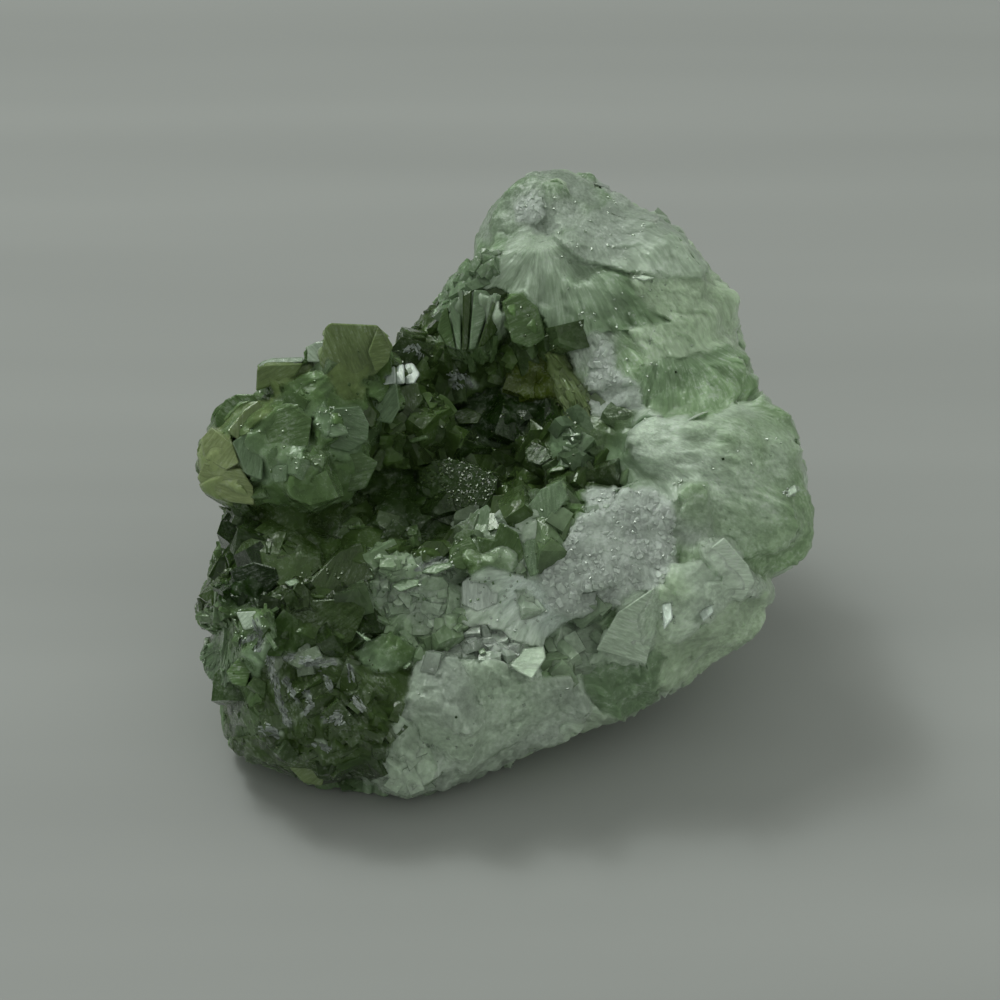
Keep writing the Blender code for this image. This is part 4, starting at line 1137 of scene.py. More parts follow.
    def grow(self) -> None:
        """Gives each patch its crystals, and what the finish reads."""
        count = len(self.points)
        tint = np.zeros((count, 3))
        self.sheaf = np.zeros((count, 3), np.float32)
        self.finish = np.zeros((count, 4))
        grid = self.viewer.grid(self.points)
        spread = np.zeros(count)
        ways = unit(self.viewer.eye() - self.points)
        swirl = lattice_noise(self.points, self.swirl_sizes[0], SEED + 40)
        swirl += 0.5 * lattice_noise(self.points, self.swirl_sizes[1], SEED + 41)
        for i, growth in enumerate(self.growths):
            own = np.nonzero(self.owner == i)[0]
            if len(own) < 4:
                continue
            points = self.points[own]
            heart = self.heart(i, own, grid)
            inner, outer = self.colours(i, own)
            front = i < len(PATCHES)
            normal = ways[own].mean(axis=0) if front else self.normals[own].mean(axis=0)
            normal /= np.linalg.norm(normal) + TINY
            crystals = Crystals(heart, growth, self.rng)
            spread[own], cell = crystals.grown(points, normal, len(own) * self.voxel ** 2)
            if not front:
                ways[own] = self.normals[own]
            reach = np.linalg.norm(points - heart, axis=1)
            low, high = np.percentile(reach, (15, 90))
            outward = (reach - low) / (high - low + TINY) + self.swirl * swirl[own]
            outward = np.clip(outward, 0, 1)[:, None]
            shade = 1 + growth.shade * self.rng.uniform(-1, 1, cell.max() + 1)[cell][:, None]
            tint[own] = (inner + (outer - inner) * outward) * shade
            self.sheaf[own] = crystals.sheaf(points)
            self.finish[own] = (growth.roughness, growth.sparkle, growth.bloom, growth.facet)
        slant = np.clip(np.einsum("ij,ij->i", ways, self.normals) * self.rim_slant, 0, 1)[:, None]
        ways = unit(ways * slant + self.normals * (1 - slant))
        streaks = self.streaks(grid)
        tint += (Tint.PALE.linear() - tint) * (self.streak_tint * streaks)[:, None]
        spread = np.clip(spread, -self.most_spread, self.most_spread) + self.streak_rise * streaks
        self.points += ways * (self.blended(spread, 1) * MM)[:, None]
        firm, eased = self.eased(tint, self.tint_rounds)
        self.tint = np.ones((count, 4), np.float32)
        self.tint[:, :3] = firm + (eased - firm) * (self.soft * self.soft_tint)[:, None]
        self.finish = self.blended(self.finish, self.finish_rounds).astype(np.float32)

    def streaks(self, grid: np.ndarray) -> np.ndarray:
        """Marks the white streaks.

        Args:
            grid: where all points are seen.

        Returns:
            How far each point is in a streak, from 0 to 1.
        """
        share = np.zeros(len(grid))
        front = np.nonzero(self.owner < len(PATCHES))[0]
        points = self.points[front]
        ragged = [self.streak_edge * lattice_noise(points, 0.35 * MM, SEED + 60 + i) for i in range(3)]
        spots = grid[front, :2] + np.column_stack(ragged[:2])
        for line, half in STREAKS:
            gap = gap_to(spots, line + line[-2::-1])
            share[front] = np.maximum(share[front], np.clip(1.5 - gap / half + 0.3 * ragged[2], 0, 1))
        return share

    def paint(self) -> None:
        """Stores what the finish reads on the mesh, thins flat parts and shades it smooth."""
        mesh = self.skin.data
        store_growth(mesh, self.tint, self.sheaf, self.finish)
        share = self.most_triangles / (2 * len(mesh.polygons))
        apply_modifier(self.skin, "DECIMATE", ratio=min(1.0, share))
        mesh.vertices.foreach_set("co", in_box(rows_of(mesh.vertices, "co", 3)).ravel())
        mesh.update()
        bpy.ops.object.shade_smooth_by_angle(angle=self.smooth_angle)


def store_growth(mesh: bpy.types.Mesh, tint: np.ndarray, sheaf: np.ndarray, finish: np.ndarray) -> None:
    """Stores what the finish reads on a mesh.

    Args:
        mesh: the mesh.
        tint: a colour for each point.
        sheaf: each point's place in its sheaf.
        finish: roughness, sparkle, bloom and facet for each point.
    """
    layer = mesh.attributes.new("tint", "FLOAT_COLOR", "POINT")
    layer.data.foreach_set("color", np.ascontiguousarray(tint, np.float32).ravel())
    for name, values in (("sheaf", sheaf), ("finish", finish[:, :3])):
        layer = mesh.attributes.new(name, "FLOAT_VECTOR", "POINT")
        layer.data.foreach_set("vector", np.ascontiguousarray(values, np.float32).ravel())
    layer = mesh.attributes.new("facet", "FLOAT", "POINT")
    layer.data.foreach_set("value", np.ascontiguousarray(finish[:, 3], np.float32))


@dataclass
class Crust:
    """Separate crystals joined in one mesh, with what the finish reads."""

    name: str
    silky: bool
    corners: list[np.ndarray] = field(default_factory=list)
    faces: list[np.ndarray] = field(default_factory=list)
    tints: list[np.ndarray] = field(default_factory=list)
    sheaves: list[np.ndarray] = field(default_factory=list)
    finishes: list[np.ndarray] = field(default_factory=list)
    count: int = 0

    def add(self, corners: np.ndarray, faces: np.ndarray, tint: np.ndarray, sheaf: np.ndarray,
            finish: np.ndarray) -> None:
        """Adds one or more crystals.

        Args:
            corners: rows of places, in metres.
            faces: rows of three corners each.
            tint: a colour for each corner, as linear light.
            sheaf: each corner's place in its sheaf.
            finish: roughness, sparkle, bloom and facet for each corner.
        """
        self.corners.append(corners)
        self.faces.append(faces + self.count)
        self.tints.append(tint)
        self.sheaves.append(sheaf)
        self.finishes.append(finish)
        self.count += len(corners)

    def build(self) -> bpy.types.Object:
        """Makes the mesh.

        Returns:
            The finished piece, without its material.
        """
        mesh = bpy.data.meshes.new(self.name)
        corners = in_box(np.vstack(self.corners))
        mesh.from_pydata(corners.tolist(), [], np.vstack(self.faces).tolist())
        tint = np.ones((len(corners), 4))
        tint[:, :3] = np.clip(np.vstack(self.tints), 0, 0.9)
        store_growth(mesh, tint, np.vstack(self.sheaves), np.vstack(self.finishes))
        mesh.validate()
        return new_piece(self.name, mesh)


@dataclass(frozen=True)
class BrokenBlocks:
    """A few kinds of crystal block of unit size, with corners and edges broken off flat."""

    kinds: int = 14
    cuts: int = 5
    depths: tuple[float, float] = (0.62, 0.88)
    lifts: tuple[float, float] = (0.05, 1.25)

    def shape(self, rng: np.random.Generator) -> tuple[np.ndarray, np.ndarray]:
        """Cuts one block.

        Args:
            rng: the seeded draws.

        Returns:
            Its corners, and its faces as rows of three corners.
        """
        bpy.ops.object.select_all(action="DESELECT")
        bpy.ops.mesh.primitive_cube_add(size=1)
        block = bpy.context.active_object
        bpy.ops.object.mode_set(mode="EDIT")
        for _ in range(self.cuts):
            turn = rng.uniform(0, math.tau)
            lift = rng.uniform(*self.lifts)
            way = Vector((math.cos(turn) * math.cos(lift), math.sin(turn) * math.cos(lift), math.sin(lift)))
            reach = 0.5 * sum(abs(part) for part in way) * rng.uniform(*self.depths)
            bpy.ops.mesh.select_all(action="SELECT")
            bpy.ops.mesh.bisect(plane_co=way * reach, plane_no=way, use_fill=True, clear_outer=True)
        bpy.ops.mesh.select_all(action="SELECT")
        bpy.ops.mesh.quads_convert_to_tris()
        bpy.ops.object.mode_set(mode="OBJECT")
        shape = corners_and_faces(block.data)
        bpy.data.objects.remove(block)
        return shape

    def shapes(self, rng: np.random.Generator) -> list[tuple[np.ndarray, np.ndarray]]:
        """Cuts all kinds."""
        return [self.shape(rng) for _ in range(self.kinds)]


@dataclass
class GrainField:
    """The small crystals that cover the skin, patch by patch."""

    skin: StoneSkin
    edge_steps: float = 16
    edge_size: float = 0.4
    # Painted shade darkens each grain's colour towards its foot, and painted light brightens its top.
    painted_depth_shade: float = 1.6
    painted_top_light: float = 1.04
    size_spread: float = 0.3
    thick_share: float = 0.7
    thick_stand: float = 1.5
    least_stand: float = 0.1
    normal_rounds: int = 8
    bare_streak: float = 0.3

    def __post_init__(self) -> None:
        """Cuts the kinds of crystal and finds where they may grow."""
        self.rng = np.random.default_rng(SEED + 1)
        self.shapes = BrokenBlocks().shapes(self.rng)
        self.normals = unit(self.skin.blended(self.skin.normals, self.normal_rounds))
        self.grid = self.skin.viewer.grid(self.skin.points)
        self.inner = np.clip(gap_to(self.grid, OUTLINE) / self.edge_steps, 0, 1)
        self.free = np.ones(len(self.grid), bool)
        for block in BLOCKS:
            self.free &= ~inside(self.grid, block.outline)
        self.free &= self.skin.streaks(self.grid) < self.bare_streak
        self.free |= self.skin.owner >= len(PATCHES)

    def plant(self, crust: Crust, i: int) -> None:
        """Plants the crystals of one patch.

        Args:
            crust: the mesh that takes them.
            i: the patch's number, front patches first.
        """
        skin = self.skin
        growth = skin.growths[i]
        grains = growth.grains
        if grains is None:
            return
        own = np.nonzero((skin.owner == i) & self.free)[0]
        count = grains.crowd * len(own) * (skin.voxel / MM) ** 2 / (grains.across * grains.along)
        if len(own) < 4 or count < 1:
            return
        picks = self.rng.choice(own, min(int(count), len(own)), replace=False)
        count = len(picks)
        heart = skin.heart(i, np.nonzero(skin.owner == i)[0], self.grid)
        normal = self.normals[picks]
        arm = skin.points[picks] - heart
        arm = unit(arm - normal * np.einsum("ij,ij->i", arm, normal)[:, None])
        side = np.cross(normal, arm)
        turn = self.rng.normal(0, grains.spin, (count, 1))
        along = arm * np.cos(turn) + side * np.sin(turn)
        side = np.cross(normal, along)
        tilt = self.rng.normal(0, grains.tilt, (count, 2)) * self.inner[picks, None]
        up = unit(normal + along * tilt[:, :1] + side * tilt[:, 1:])
        along = unit(along - up * np.einsum("ij,ij->i", along, up)[:, None])
        axes = np.stack([along, np.cross(up, along), up], axis=2)
        grow = np.exp(self.rng.normal(0, self.size_spread, (count, 1)))
        thick = grains.across * self.thick_share + grains.stand * self.thick_stand
        grow = grow * (self.edge_size + (1 - self.edge_size) * self.inner[picks, None])
        size = np.array([grains.along, grains.across, thick]) * grow * MM
        stand = grains.stand * MM * self.rng.uniform(self.least_stand, 1.0, count) * self.inner[picks]
        centre = skin.points[picks] + up * (stand - size[:, 2] / 2)[:, None]
        shade = 1 + growth.shade * self.rng.uniform(-1, 1, (count, 1))
        tint = skin.tint[picks, :3] * shade
        kind = self.rng.integers(len(self.shapes), size=count)
        finish = np.array([growth.roughness, growth.sparkle, growth.bloom, growth.facet])
        for k, (corners, faces) in enumerate(self.shapes):
            chosen = np.nonzero(kind == k)[0]
            if not len(chosen):
                continue
            sized = corners[None] * size[chosen, None]
            places = (centre[chosen, None] + np.einsum("nij,nkj->nki", axes[chosen], sized)).reshape(-1, 3)
            # Painted shade and light: a grain's lower corners get a darker colour and its top a lighter one,
            # whatever the lamps do.
            rise = np.clip(corners[:, 2] + 0.5, 0, 1)[None, :, None]
            level = self.painted_top_light - self.painted_depth_shade * growth.shade * (1 - rise)
            colours = (tint[chosen, None] * level).reshape(-1, 3)
            start = np.arange(len(chosen))[:, None, None] * len(corners)
            sheaf = Crystals(heart, growth, self.rng).sheaf(places)
            crust.add(places, (faces[None] + start).reshape(-1, 3), colours, sheaf,
                      np.tile(finish, (len(places), 1)))

    def build(self) -> list[Crust]:
        """Plants all patches.

        Returns:
            The crusts, the silky ones apart from the glassy ones.
        """
        crusts = {}
        for i, growth in enumerate(self.skin.growths):
            place = "front" if i < len(PATCHES) else "far"
            look = "silky" if growth in SILKY else "glassy"
            crust = crusts.setdefault((place, look), Crust(f"{place}_{look}_crystals", look == "silky"))
            self.plant(crust, i)
        return list(crusts.values())


@dataclass
class LargeCrystals:
    """The large crystals of the front, each a slab cut to its outline with a narrow bevel."""

    skin: StoneSkin
    bevel_steps: float = 1.3
    bevel_angle: float = math.radians(40)
    line_width: float = 0.35 * MM
    line_length: float = 2.0 * MM
    reach: float = 2.0 * MM
    silky_bloom: float = 0.5
    least_points: int = 6

    def slab(self, block: Block) -> tuple[np.ndarray, np.ndarray]:
        """Cuts one crystal, seen from the front, in steps across, down and towards the eye.

        Args:
            block: the crystal.

        Returns:
            Its corners, and its faces as rows of three corners.
        """
        mesh = bpy.data.meshes.new(block.name)
        ring = [(across, down, 0.0) for across, down in block.outline]
        mesh.from_pydata(ring, [], [list(range(len(ring)))])
        piece = new_piece(block.name, mesh)
        bpy.ops.object.mode_set(mode="EDIT")
        bpy.ops.mesh.select_all(action="SELECT")
        depth = block.thick * MM / self.skin.viewer.step
        bpy.ops.mesh.extrude_region_move(TRANSFORM_OT_translate={"value": (0, 0, -depth)})
        bpy.ops.mesh.select_all(action="SELECT")
        bpy.ops.mesh.normals_make_consistent(inside=False)
        bpy.ops.object.mode_set(mode="OBJECT")
        apply_modifier(piece, "BEVEL", width=self.bevel_steps, segments=1, limit_method="ANGLE",
                       angle_limit=self.bevel_angle)
        apply_modifier(piece, "TRIANGULATE")
        shape = corners_and_faces(mesh)
        bpy.data.objects.remove(piece)
        return shape

    def add(self, crust: Crust, block: Block, middle: np.ndarray, plane: np.ndarray) -> None:
        """Adds one crystal with its face in a plane.

        Args:
            crust: the mesh that takes it.
            block: the crystal.
            middle: the face's middle, in steps.
            plane: how far out the middle is, in metres, and the slope to the right and down.
        """
        skin = self.skin
        corners, faces = self.slab(block)
        spots = (corners[:, :2] - middle) * skin.viewer.step
        out = plane[0] + spots @ plane[1:] + block.lift * MM + corners[:, 2] * skin.viewer.step
        places = skin.viewer.place(corners[:, 0], corners[:, 1], out)
        tint = np.tile(block.tint.linear(), (len(places), 1))
        turn = skin.rng.uniform(0, math.pi)
        line = np.column_stack([spots @ (math.cos(turn), math.sin(turn)) / self.line_width,
                                spots @ (-math.sin(turn), math.cos(turn)) / self.line_length])
        sheaf = np.column_stack([line, corners[:, 2] * 0.1 + skin.rng.uniform(0, 99)])
        finish = np.array([block.roughness, block.sparkle, block.bloom, 0.1])
        crust.add(places, faces[:, ::-1], tint, sheaf, np.tile(finish, (len(places), 1)))

    def build(self) -> list[Crust]:
        """Makes all large crystals.

        Returns:
            The crusts, the silky one first.
        """
        skin = self.skin
        crusts = (Crust("large_silky_crystals", True), Crust("large_glassy_crystals", False))
        grid = skin.viewer.grid(skin.points)
        front = skin.owner < len(PATCHES)
        for block in BLOCKS:
            if block.lean == GLINT:
                continue
            own = np.nonzero(front & inside(grid, block.outline))[0]
            if len(own) < self.least_points:
                LOG.info("block %s meets no stone", block.name)
                continue
            middle = np.array(block.outline).mean(axis=0)
            out = grid[own, 2]
            own = own[np.abs(out - np.median(out)) < self.reach]
            spots = (grid[own, :2] - middle) * skin.viewer.step
            table = np.column_stack([np.ones(len(own)), spots])
            plane = np.linalg.lstsq(table, grid[own, 2], rcond=None)[0]
            if block.lean:
                plane = np.array([np.median(grid[own, 2]), -block.lean[0], block.lean[1]])
            plane[1:] = np.clip(plane[1:], -STEEPEST, STEEPEST)
            self.add(crusts[0 if block.bloom > self.silky_bloom else 1], block, middle, plane)
        return list(crusts)


@dataclass
class Strewn:
    """The tiniest crystals, strewn on the outermost surface of the front."""

    large: LargeCrystals
    surface: list[bpy.types.Object]
    streak_crowd: float = 0.6
    streak_size: tuple[float, float, float] = (0.34 * MM, 0.10 * MM, 0.05 * MM)
    streak_sizes: tuple[float, float] = (0.5, 1.4)
    streak_levels: tuple[float, float] = (0.2, 0.65)
    streak_spread: float = 0.75
    streak_bend: float = 0.22
    streak_finish: tuple[float, float, float, float] = (0.35, 0.5, 0.6, 0.2)
    face_size: tuple[float, float, float] = (0.13 * MM, 0.09 * MM, 0.10 * MM)
    face_sizes: tuple[float, float] = (0.5, 1.7)
    face_finish: tuple[float, float, float, float] = (0.10, 0.0, 0.0, 0.0)
    face_tilt: float = 0.045
    speck_size: float = 0.16 * MM
    glint_share: float = 75

    def __post_init__(self) -> None:
        """Cuts the kinds of crystal and gets the surface ready."""
        self.viewer = self.large.skin.viewer
        self.rng = np.random.default_rng(SEED + 2)
        self.shapes = BrokenBlocks().shapes(self.rng)
        graph = bpy.context.evaluated_depsgraph_get()
        self.trees = [BVHTree.FromObject(piece, graph) for piece in self.surface]

    def hit(self, spot: np.ndarray) -> tuple[np.ndarray, np.ndarray] | None:
        """Finds the surface at a spot.

        Args:
            spot: steps across and down.

        Returns:
            The place and the way that it faces, or None beside the stone.
        """
        eye = self.viewer.eye()
        way = unit(self.viewer.place(spot[:1], spot[1:], np.zeros(1))[0] - eye)
        met = [tree.ray_cast(Vector(eye), Vector(way)) for tree in self.trees]
        met = [(reach, place, normal) for place, normal, _, reach in met if place is not None]
        if not met:
            return None
        _, place, normal = min(met, key=lambda one: one[0])
        return np.array(place), np.array(normal)

    def lay(self, crust: Crust, place: np.ndarray, up: np.ndarray, along: np.ndarray,
            size: np.ndarray, tint: np.ndarray, finish: tuple[float, float, float, float]) -> None:
        """Lays one crystal half sunk in the surface.

        Args:
            crust: the mesh that takes it.
            place: where it lies.
            up: the way its top faces.
            along: the way its length runs.
            size: its length, width and height.
            tint: its colour as linear light.
            finish: its roughness, sparkle, bloom and facet.
        """
        along = unit(along - up * (along @ up))
        axes = np.stack([along, np.cross(up, along), up], axis=1)
        corners, faces = self.shapes[self.rng.integers(len(self.shapes))]
        places = place + (corners * size) @ axes.T
        crust.add(places, faces, np.tile(tint, (len(places), 1)), places / MM,
                  np.tile(finish, (len(places), 1)))

    def streak(self, crust: Crust, line: Line, half: float) -> None:
        """Strews white needles along a streak.

        Args:
            crust: the mesh that takes them.
            line: the streak's places, in steps.
            half: half its width, in steps.
        """
        corner = np.array(line, float)
        right, upward, _ = self.viewer.axes()
        for start, end in zip(corner, corner[1:]):
            way = (end - start) / np.linalg.norm(end - start)
            count = int(np.linalg.norm(end - start) * half * self.streak_crowd) + 2
            for _ in range(count):
                spot = start + (end - start) * self.rng.uniform(0, 1)
                spot = spot + np.array([-way[1], way[0]]) * self.rng.normal(0, half * self.streak_spread)
                met = self.hit(spot)
                if met is None:
                    continue
                lie = right * way[0] - upward * way[1] + self.rng.normal(0, self.streak_bend, 3)
                size = np.array(self.streak_size) * self.rng.uniform(*self.streak_sizes)
                tint = Tint.WHITE.linear() * self.rng.uniform(*self.streak_levels)
                self.lay(crust, met[0], met[1], lie, size, tint, self.streak_finish)

    def mirroring(self, place: np.ndarray) -> np.ndarray:
        """Finds the way that a face there has to face to mirror the window to the viewer."""
        return unit(unit(np.array(WINDOW) - place) + unit(self.viewer.eye() - place))

    def glint(self, crust: Crust, block: Block) -> None:
        """Lays a large face that mirrors the window to the viewer in front of all others.

        Args:
            crust: the mesh that takes it.
            block: the crystal.
        """
        middle = np.array(block.outline).mean(axis=0)
        spots = np.vstack([middle, block.outline, (np.array(block.outline) + middle) / 2])
        met = [(spot, self.hit(spot)) for spot in spots]
        met = [(spot, hit[0]) for spot, hit in met if hit is not None]
        right, up, out = self.viewer.axes() @ self.mirroring(met[0][1])
        slope = np.array([-right / out, up / out])
        high = [(place - np.array(self.viewer.aim)) @ self.viewer.axes()[2]
                - (spot - middle) * self.viewer.step @ slope for spot, place in met]
        self.large.add(crust, block, middle, np.array([np.percentile(high, self.glint_share), *slope]))

    def glitter(self, crust: Crust, outline: Line, count: int, tint: Tint) -> None:
        """Strews tiny faces that mirror the window to the viewer.

        Args:
            crust: the mesh that takes them.
            outline: the place's outline, in steps.
            count: how many there are.
            tint: their colour.
        """
        low = np.min(outline, axis=0)
        high = np.max(outline, axis=0)
        spots = self.rng.uniform(low, high, (count * 4, 2))
        spots = spots[inside(spots, outline)][:count]
        for spot in spots:
            met = self.hit(spot)
            if met is None:
                continue
            place = met[0]
            up = unit(self.mirroring(place) + self.rng.normal(0, self.face_tilt, 3))
            size = np.array(self.face_size) * self.rng.uniform(*self.face_sizes)
            self.lay(crust, place, up, self.rng.normal(size=3), size, tint.linear(), self.face_finish)

    def build(self) -> list[Crust]:
        """Strews the streaks' needles and the glittering faces.

        Returns:
            The crusts, the silky one first.
        """
        needles = Crust("streak_needles", True)
        for line, half in STREAKS:
            self.streak(needles, line, half)
        faces = Crust("glitter_faces", False)
        for block in BLOCKS:
            if block.lean == GLINT:
                self.glint(faces, block)
        for outline, count, tint in GLITTER:
            self.glitter(faces, outline, count, tint)
        for speck in SPECKS:
            place, up = self.hit(np.array(speck, float))
            size = np.full(3, self.speck_size)
            self.lay(needles, place, up, self.rng.normal(size=3), size, Tint.INK.linear(), self.streak_finish)
        return [needles, faces]


class Nodes:
    """A small helper that adds shader nodes and links them."""

    def __init__(self, material: bpy.types.Material | bpy.types.World) -> None:
        """Takes the node tree of a material or a world."""
        self.tree = material.node_tree

    def add(self, kind: str, settings: dict | None = None, **inputs: object) -> bpy.types.Node:
        """Adds a node.

        Args:
            kind: the node's type, without its prefix.
            settings: the node's own properties.
            **inputs: a socket or a value for each input, by its name with _ for a space, or
                by its number after an n.

        Returns:
            The node.
        """
        node = self.tree.nodes.new("ShaderNode" + kind)
        for name, value in (settings or {}).items():
            setattr(node, name, value)
        for name, value in inputs.items():
            number = name[1:].isdigit() and name[0] == "n"
            socket = node.inputs[int(name[1:]) if number else name.replace("_", " ")]
            if isinstance(value, bpy.types.NodeSocket):
                self.tree.links.new(value, socket)
            else:
                socket.default_value = value
        return node

    def attribute(self, name: str, output: str) -> bpy.types.NodeSocket:
        """Reads what is stored on the mesh under a name."""
        return self.add("Attribute", {"attribute_name": name}).outputs[output]

    def noise(self, place: bpy.types.NodeSocket, scale: float, detail: float,
              roughness: float) -> bpy.types.NodeSocket:
        """Makes soft noise at a place."""
        return self.add("TexNoise", Vector=place, Scale=scale, Detail=detail,
                        Roughness=roughness).outputs["Fac"]

    def times(self, first: bpy.types.NodeSocket, second: object) -> bpy.types.NodeSocket:
        """Multiplies two numbers."""
        return self.add("Math", {"operation": "MULTIPLY"}, n0=first, n1=second).outputs[0]

    def scaled(self, vector: object, share: bpy.types.NodeSocket) -> bpy.types.NodeSocket:
        """Multiplies a vector or a colour by a number."""
        return self.add("VectorMath", {"operation": "SCALE"}, n0=vector, Scale=share).outputs[0]

    def mapped(self, value: bpy.types.NodeSocket, low: float, high: float, to_low: float,
               to_high: float) -> bpy.types.NodeSocket:
        """Maps a number from one range onto another and keeps it in there."""
        return self.add("MapRange", Value=value, n1=low, n2=high, n3=to_low, n4=to_high).outputs[0]


@dataclass(frozen=True)
class PrehniteFinish:
    """Translucent green crystal: glassy where it is clear, with a white bloom where it is broken."""

    name: str
    glow_depth: float
    glow: float
    clear: float
    gloss: float
    gloss_roughness: float

    refraction: float = 1.55
    glow_reach: tuple[float, float, float] = (0.95, 1.0, 0.9)
    mirror: float = 0.3
    mirror_tint: tuple[float, float, float, float] = (0.75, 1.0, 0.65, 1)
    streak_scale: float = 2.6
    grain_size: float = 0.34 * MM
    cloud_size: float = 2.6 * MM
    spark_size: float = 0.16 * MM
    ridge_height: float = 0.05 * MM
    pore_depth: float = 0.045 * MM
    spark_tilt: float = 0.7
    facet_scale: float = 1.3
    facet_tilt: float = 1.0
    bloom: tuple[float, float, float, float] = (0.60, 0.65, 0.60, 1)

    def material(self) -> bpy.types.Material:
        """Builds the material.

        Returns:
            The material, which reads the attributes tint, sheaf and finish.
        """
        material = bpy.data.materials.new(self.name)
        material.use_nodes = True
        material.node_tree.nodes.clear()
        nodes = Nodes(material)
        tint = nodes.attribute("tint", "Color")
        sheaf = nodes.attribute("sheaf", "Vector")
        parts = nodes.add("SeparateXYZ", Vector=nodes.attribute("finish", "Vector")).outputs
        facet = nodes.attribute("facet", "Fac")
        place = nodes.add("TexCoord").outputs["Object"]
        streak = nodes.noise(sheaf, self.streak_scale, 4.0, 0.6)
        grain = nodes.noise(place, 1 / self.grain_size, 3.0, 0.65)
        cloud = nodes.noise(place, 1 / self.cloud_size, 3.0, 0.55)
        sparks = nodes.add("TexVoronoi", Vector=place, Scale=1 / self.spark_size).outputs["Color"]
        spark = nodes.add("SeparateXYZ", Vector=sparks).outputs["X"]
        planes = nodes.add("TexVoronoi", {"distance": "CHEBYCHEV"}, Vector=sheaf,
                           Scale=self.facet_scale).outputs["Color"]
        dyed = self.dye(nodes, tint, parts["Z"], streak, grain, cloud, spark)
        plane = nodes.add("SeparateXYZ", Vector=planes).outputs["X"]
        colour = nodes.scaled(dyed, nodes.mapped(plane, 0.0, 1.0, 0.90, 1.10))
        rough = nodes.times(parts["X"], nodes.mapped(grain, 0.3, 0.7, 0.75, 1.3))
        broken = self.tilted(nodes, self.rugged(nodes, streak, grain), planes, facet, self.facet_tilt)
        glossy = self.tilted(nodes, broken, sparks, parts["Y"], self.spark_tilt)
        shader = nodes.add("BsdfPrincipled", Base_Color=colour, Roughness=rough, Normal=broken,
                           IOR=self.refraction, Specular_IOR_Level=self.mirror,
                           Specular_Tint=self.mirror_tint, Subsurface_Weight=self.glow,
                           Subsurface_Radius=self.glow_reach, Subsurface_Scale=self.glow_depth,
                           Transmission_Weight=self.clear, Coat_Weight=self.gloss,
                           Coat_Roughness=self.gloss_roughness, Coat_Normal=glossy)
        nodes.add("OutputMaterial", Surface=shader.outputs[0])
        return material

    def dye(self, nodes: Nodes, tint: bpy.types.NodeSocket, bloom: bpy.types.NodeSocket,
            streak: bpy.types.NodeSocket, grain: bpy.types.NodeSocket, cloud: bpy.types.NodeSocket,
            spark: bpy.types.NodeSocket) -> bpy.types.NodeSocket:
        """Colours the stone: fine streaks, cloudy depth, and a white bloom of tiny crystals.

        Args:
            nodes: the material's nodes.
            tint: the growth's own colour.
            bloom: how much bloom it has.
            streak: noise along the crystals.
            grain: fine noise.
            cloud: broad noise.
            spark: a random value for each tiny crystal.

        Returns:
            The colour.
        """
        fine = nodes.mapped(streak, 0.3, 0.7, 0.80, 1.20)
        broad = nodes.mapped(cloud, 0.3, 0.7, 0.84, 1.16)
        dyed = nodes.scaled(tint, nodes.times(fine, broad))
        where = nodes.mapped(nodes.times(cloud, streak), 0.24, 0.36, 0.0, 1.0)
        dots = nodes.mapped(nodes.times(spark, grain), 0.18, 0.5, 0.15, 1.0)
        share = nodes.times(nodes.times(where, dots), bloom)
        return nodes.add("Mix", {"data_type": "RGBA"}, n0=share, n6=dyed, n7=self.bloom).outputs[2]

    def rugged(self, nodes: Nodes, streak: bpy.types.NodeSocket,
               grain: bpy.types.NodeSocket) -> bpy.types.NodeSocket:
        """Roughens the surface with low ridges along the crystals and fine pores.

        Args:
            nodes: the material's nodes.
            streak: noise along the crystals.
            grain: fine noise.

        Returns:
            The normal.
        """
        ridges = nodes.add("Bump", Strength=0.8, Distance=self.ridge_height, Height=streak)
        return nodes.add("Bump", Strength=0.8, Distance=self.pore_depth, Height=grain,
                         Normal=ridges.outputs[0]).outputs[0]

    def tilted(self, nodes: Nodes, normal: bpy.types.NodeSocket, direction: bpy.types.NodeSocket,
               amount: bpy.types.NodeSocket, most: float) -> bpy.types.NodeSocket:
        """Tilts the faces of small crystals at random.

        Args:
            nodes: the material's nodes.
            normal: the normal so far.
            direction: a random direction for each face, each part from 0 to 1.
            amount: how much of the tilt this growth has.
            most: the full tilt.

        Returns:
            The normal.
        """
        centred = nodes.add("VectorMath", {"operation": "SUBTRACT"}, n0=direction,
                            n1=(0.5, 0.5, 0.5)).outputs[0]
        tilt = nodes.scaled(centred, nodes.times(amount, most))
        leaning = nodes.add("VectorMath", {"operation": "ADD"}, n0=normal, n1=tilt).outputs[0]
        return nodes.add("VectorMath", {"operation": "NORMALIZE"}, n0=leaning).outputs[0]


@dataclass(frozen=True)
class Table:
    """The pale matt table top that the stone stands on."""

    side: float = 3.0
    colour: tuple[float, float, float] = (0.355, 0.373, 0.348)
    roughness: float = 0.6
    bands: tuple[float, float, float] = (6, 60, 1)

    def build(self) -> bpy.types.Object:
        """Makes the table top, level with the stone's resting face.

        Returns:
            The table top.
        """
        bpy.ops.object.select_all(action="DESELECT")
        bpy.ops.mesh.primitive_plane_add(size=self.side)
        top = bpy.context.active_object
        top.name = "table_top"
        material = bpy.data.materials.new("pale_table")
        material.use_nodes = True
        nodes = Nodes(material)
        shader = material.node_tree.nodes["Principled BSDF"]
        place = nodes.add("TexCoord").outputs["Object"]
        bands = nodes.add("Mapping", n0=place, Scale=self.bands).outputs[0]
        grain = nodes.noise(bands, 1.0, 2.0, 0.5)
        colour = nodes.scaled(self.colour, nodes.mapped(grain, 0.3, 0.7, 0.94, 1.06))
        material.node_tree.links.new(colour, shader.inputs["Base Color"])
        shader.inputs["Roughness"].default_value = self.roughness
        top.data.materials.append(material)
        return top


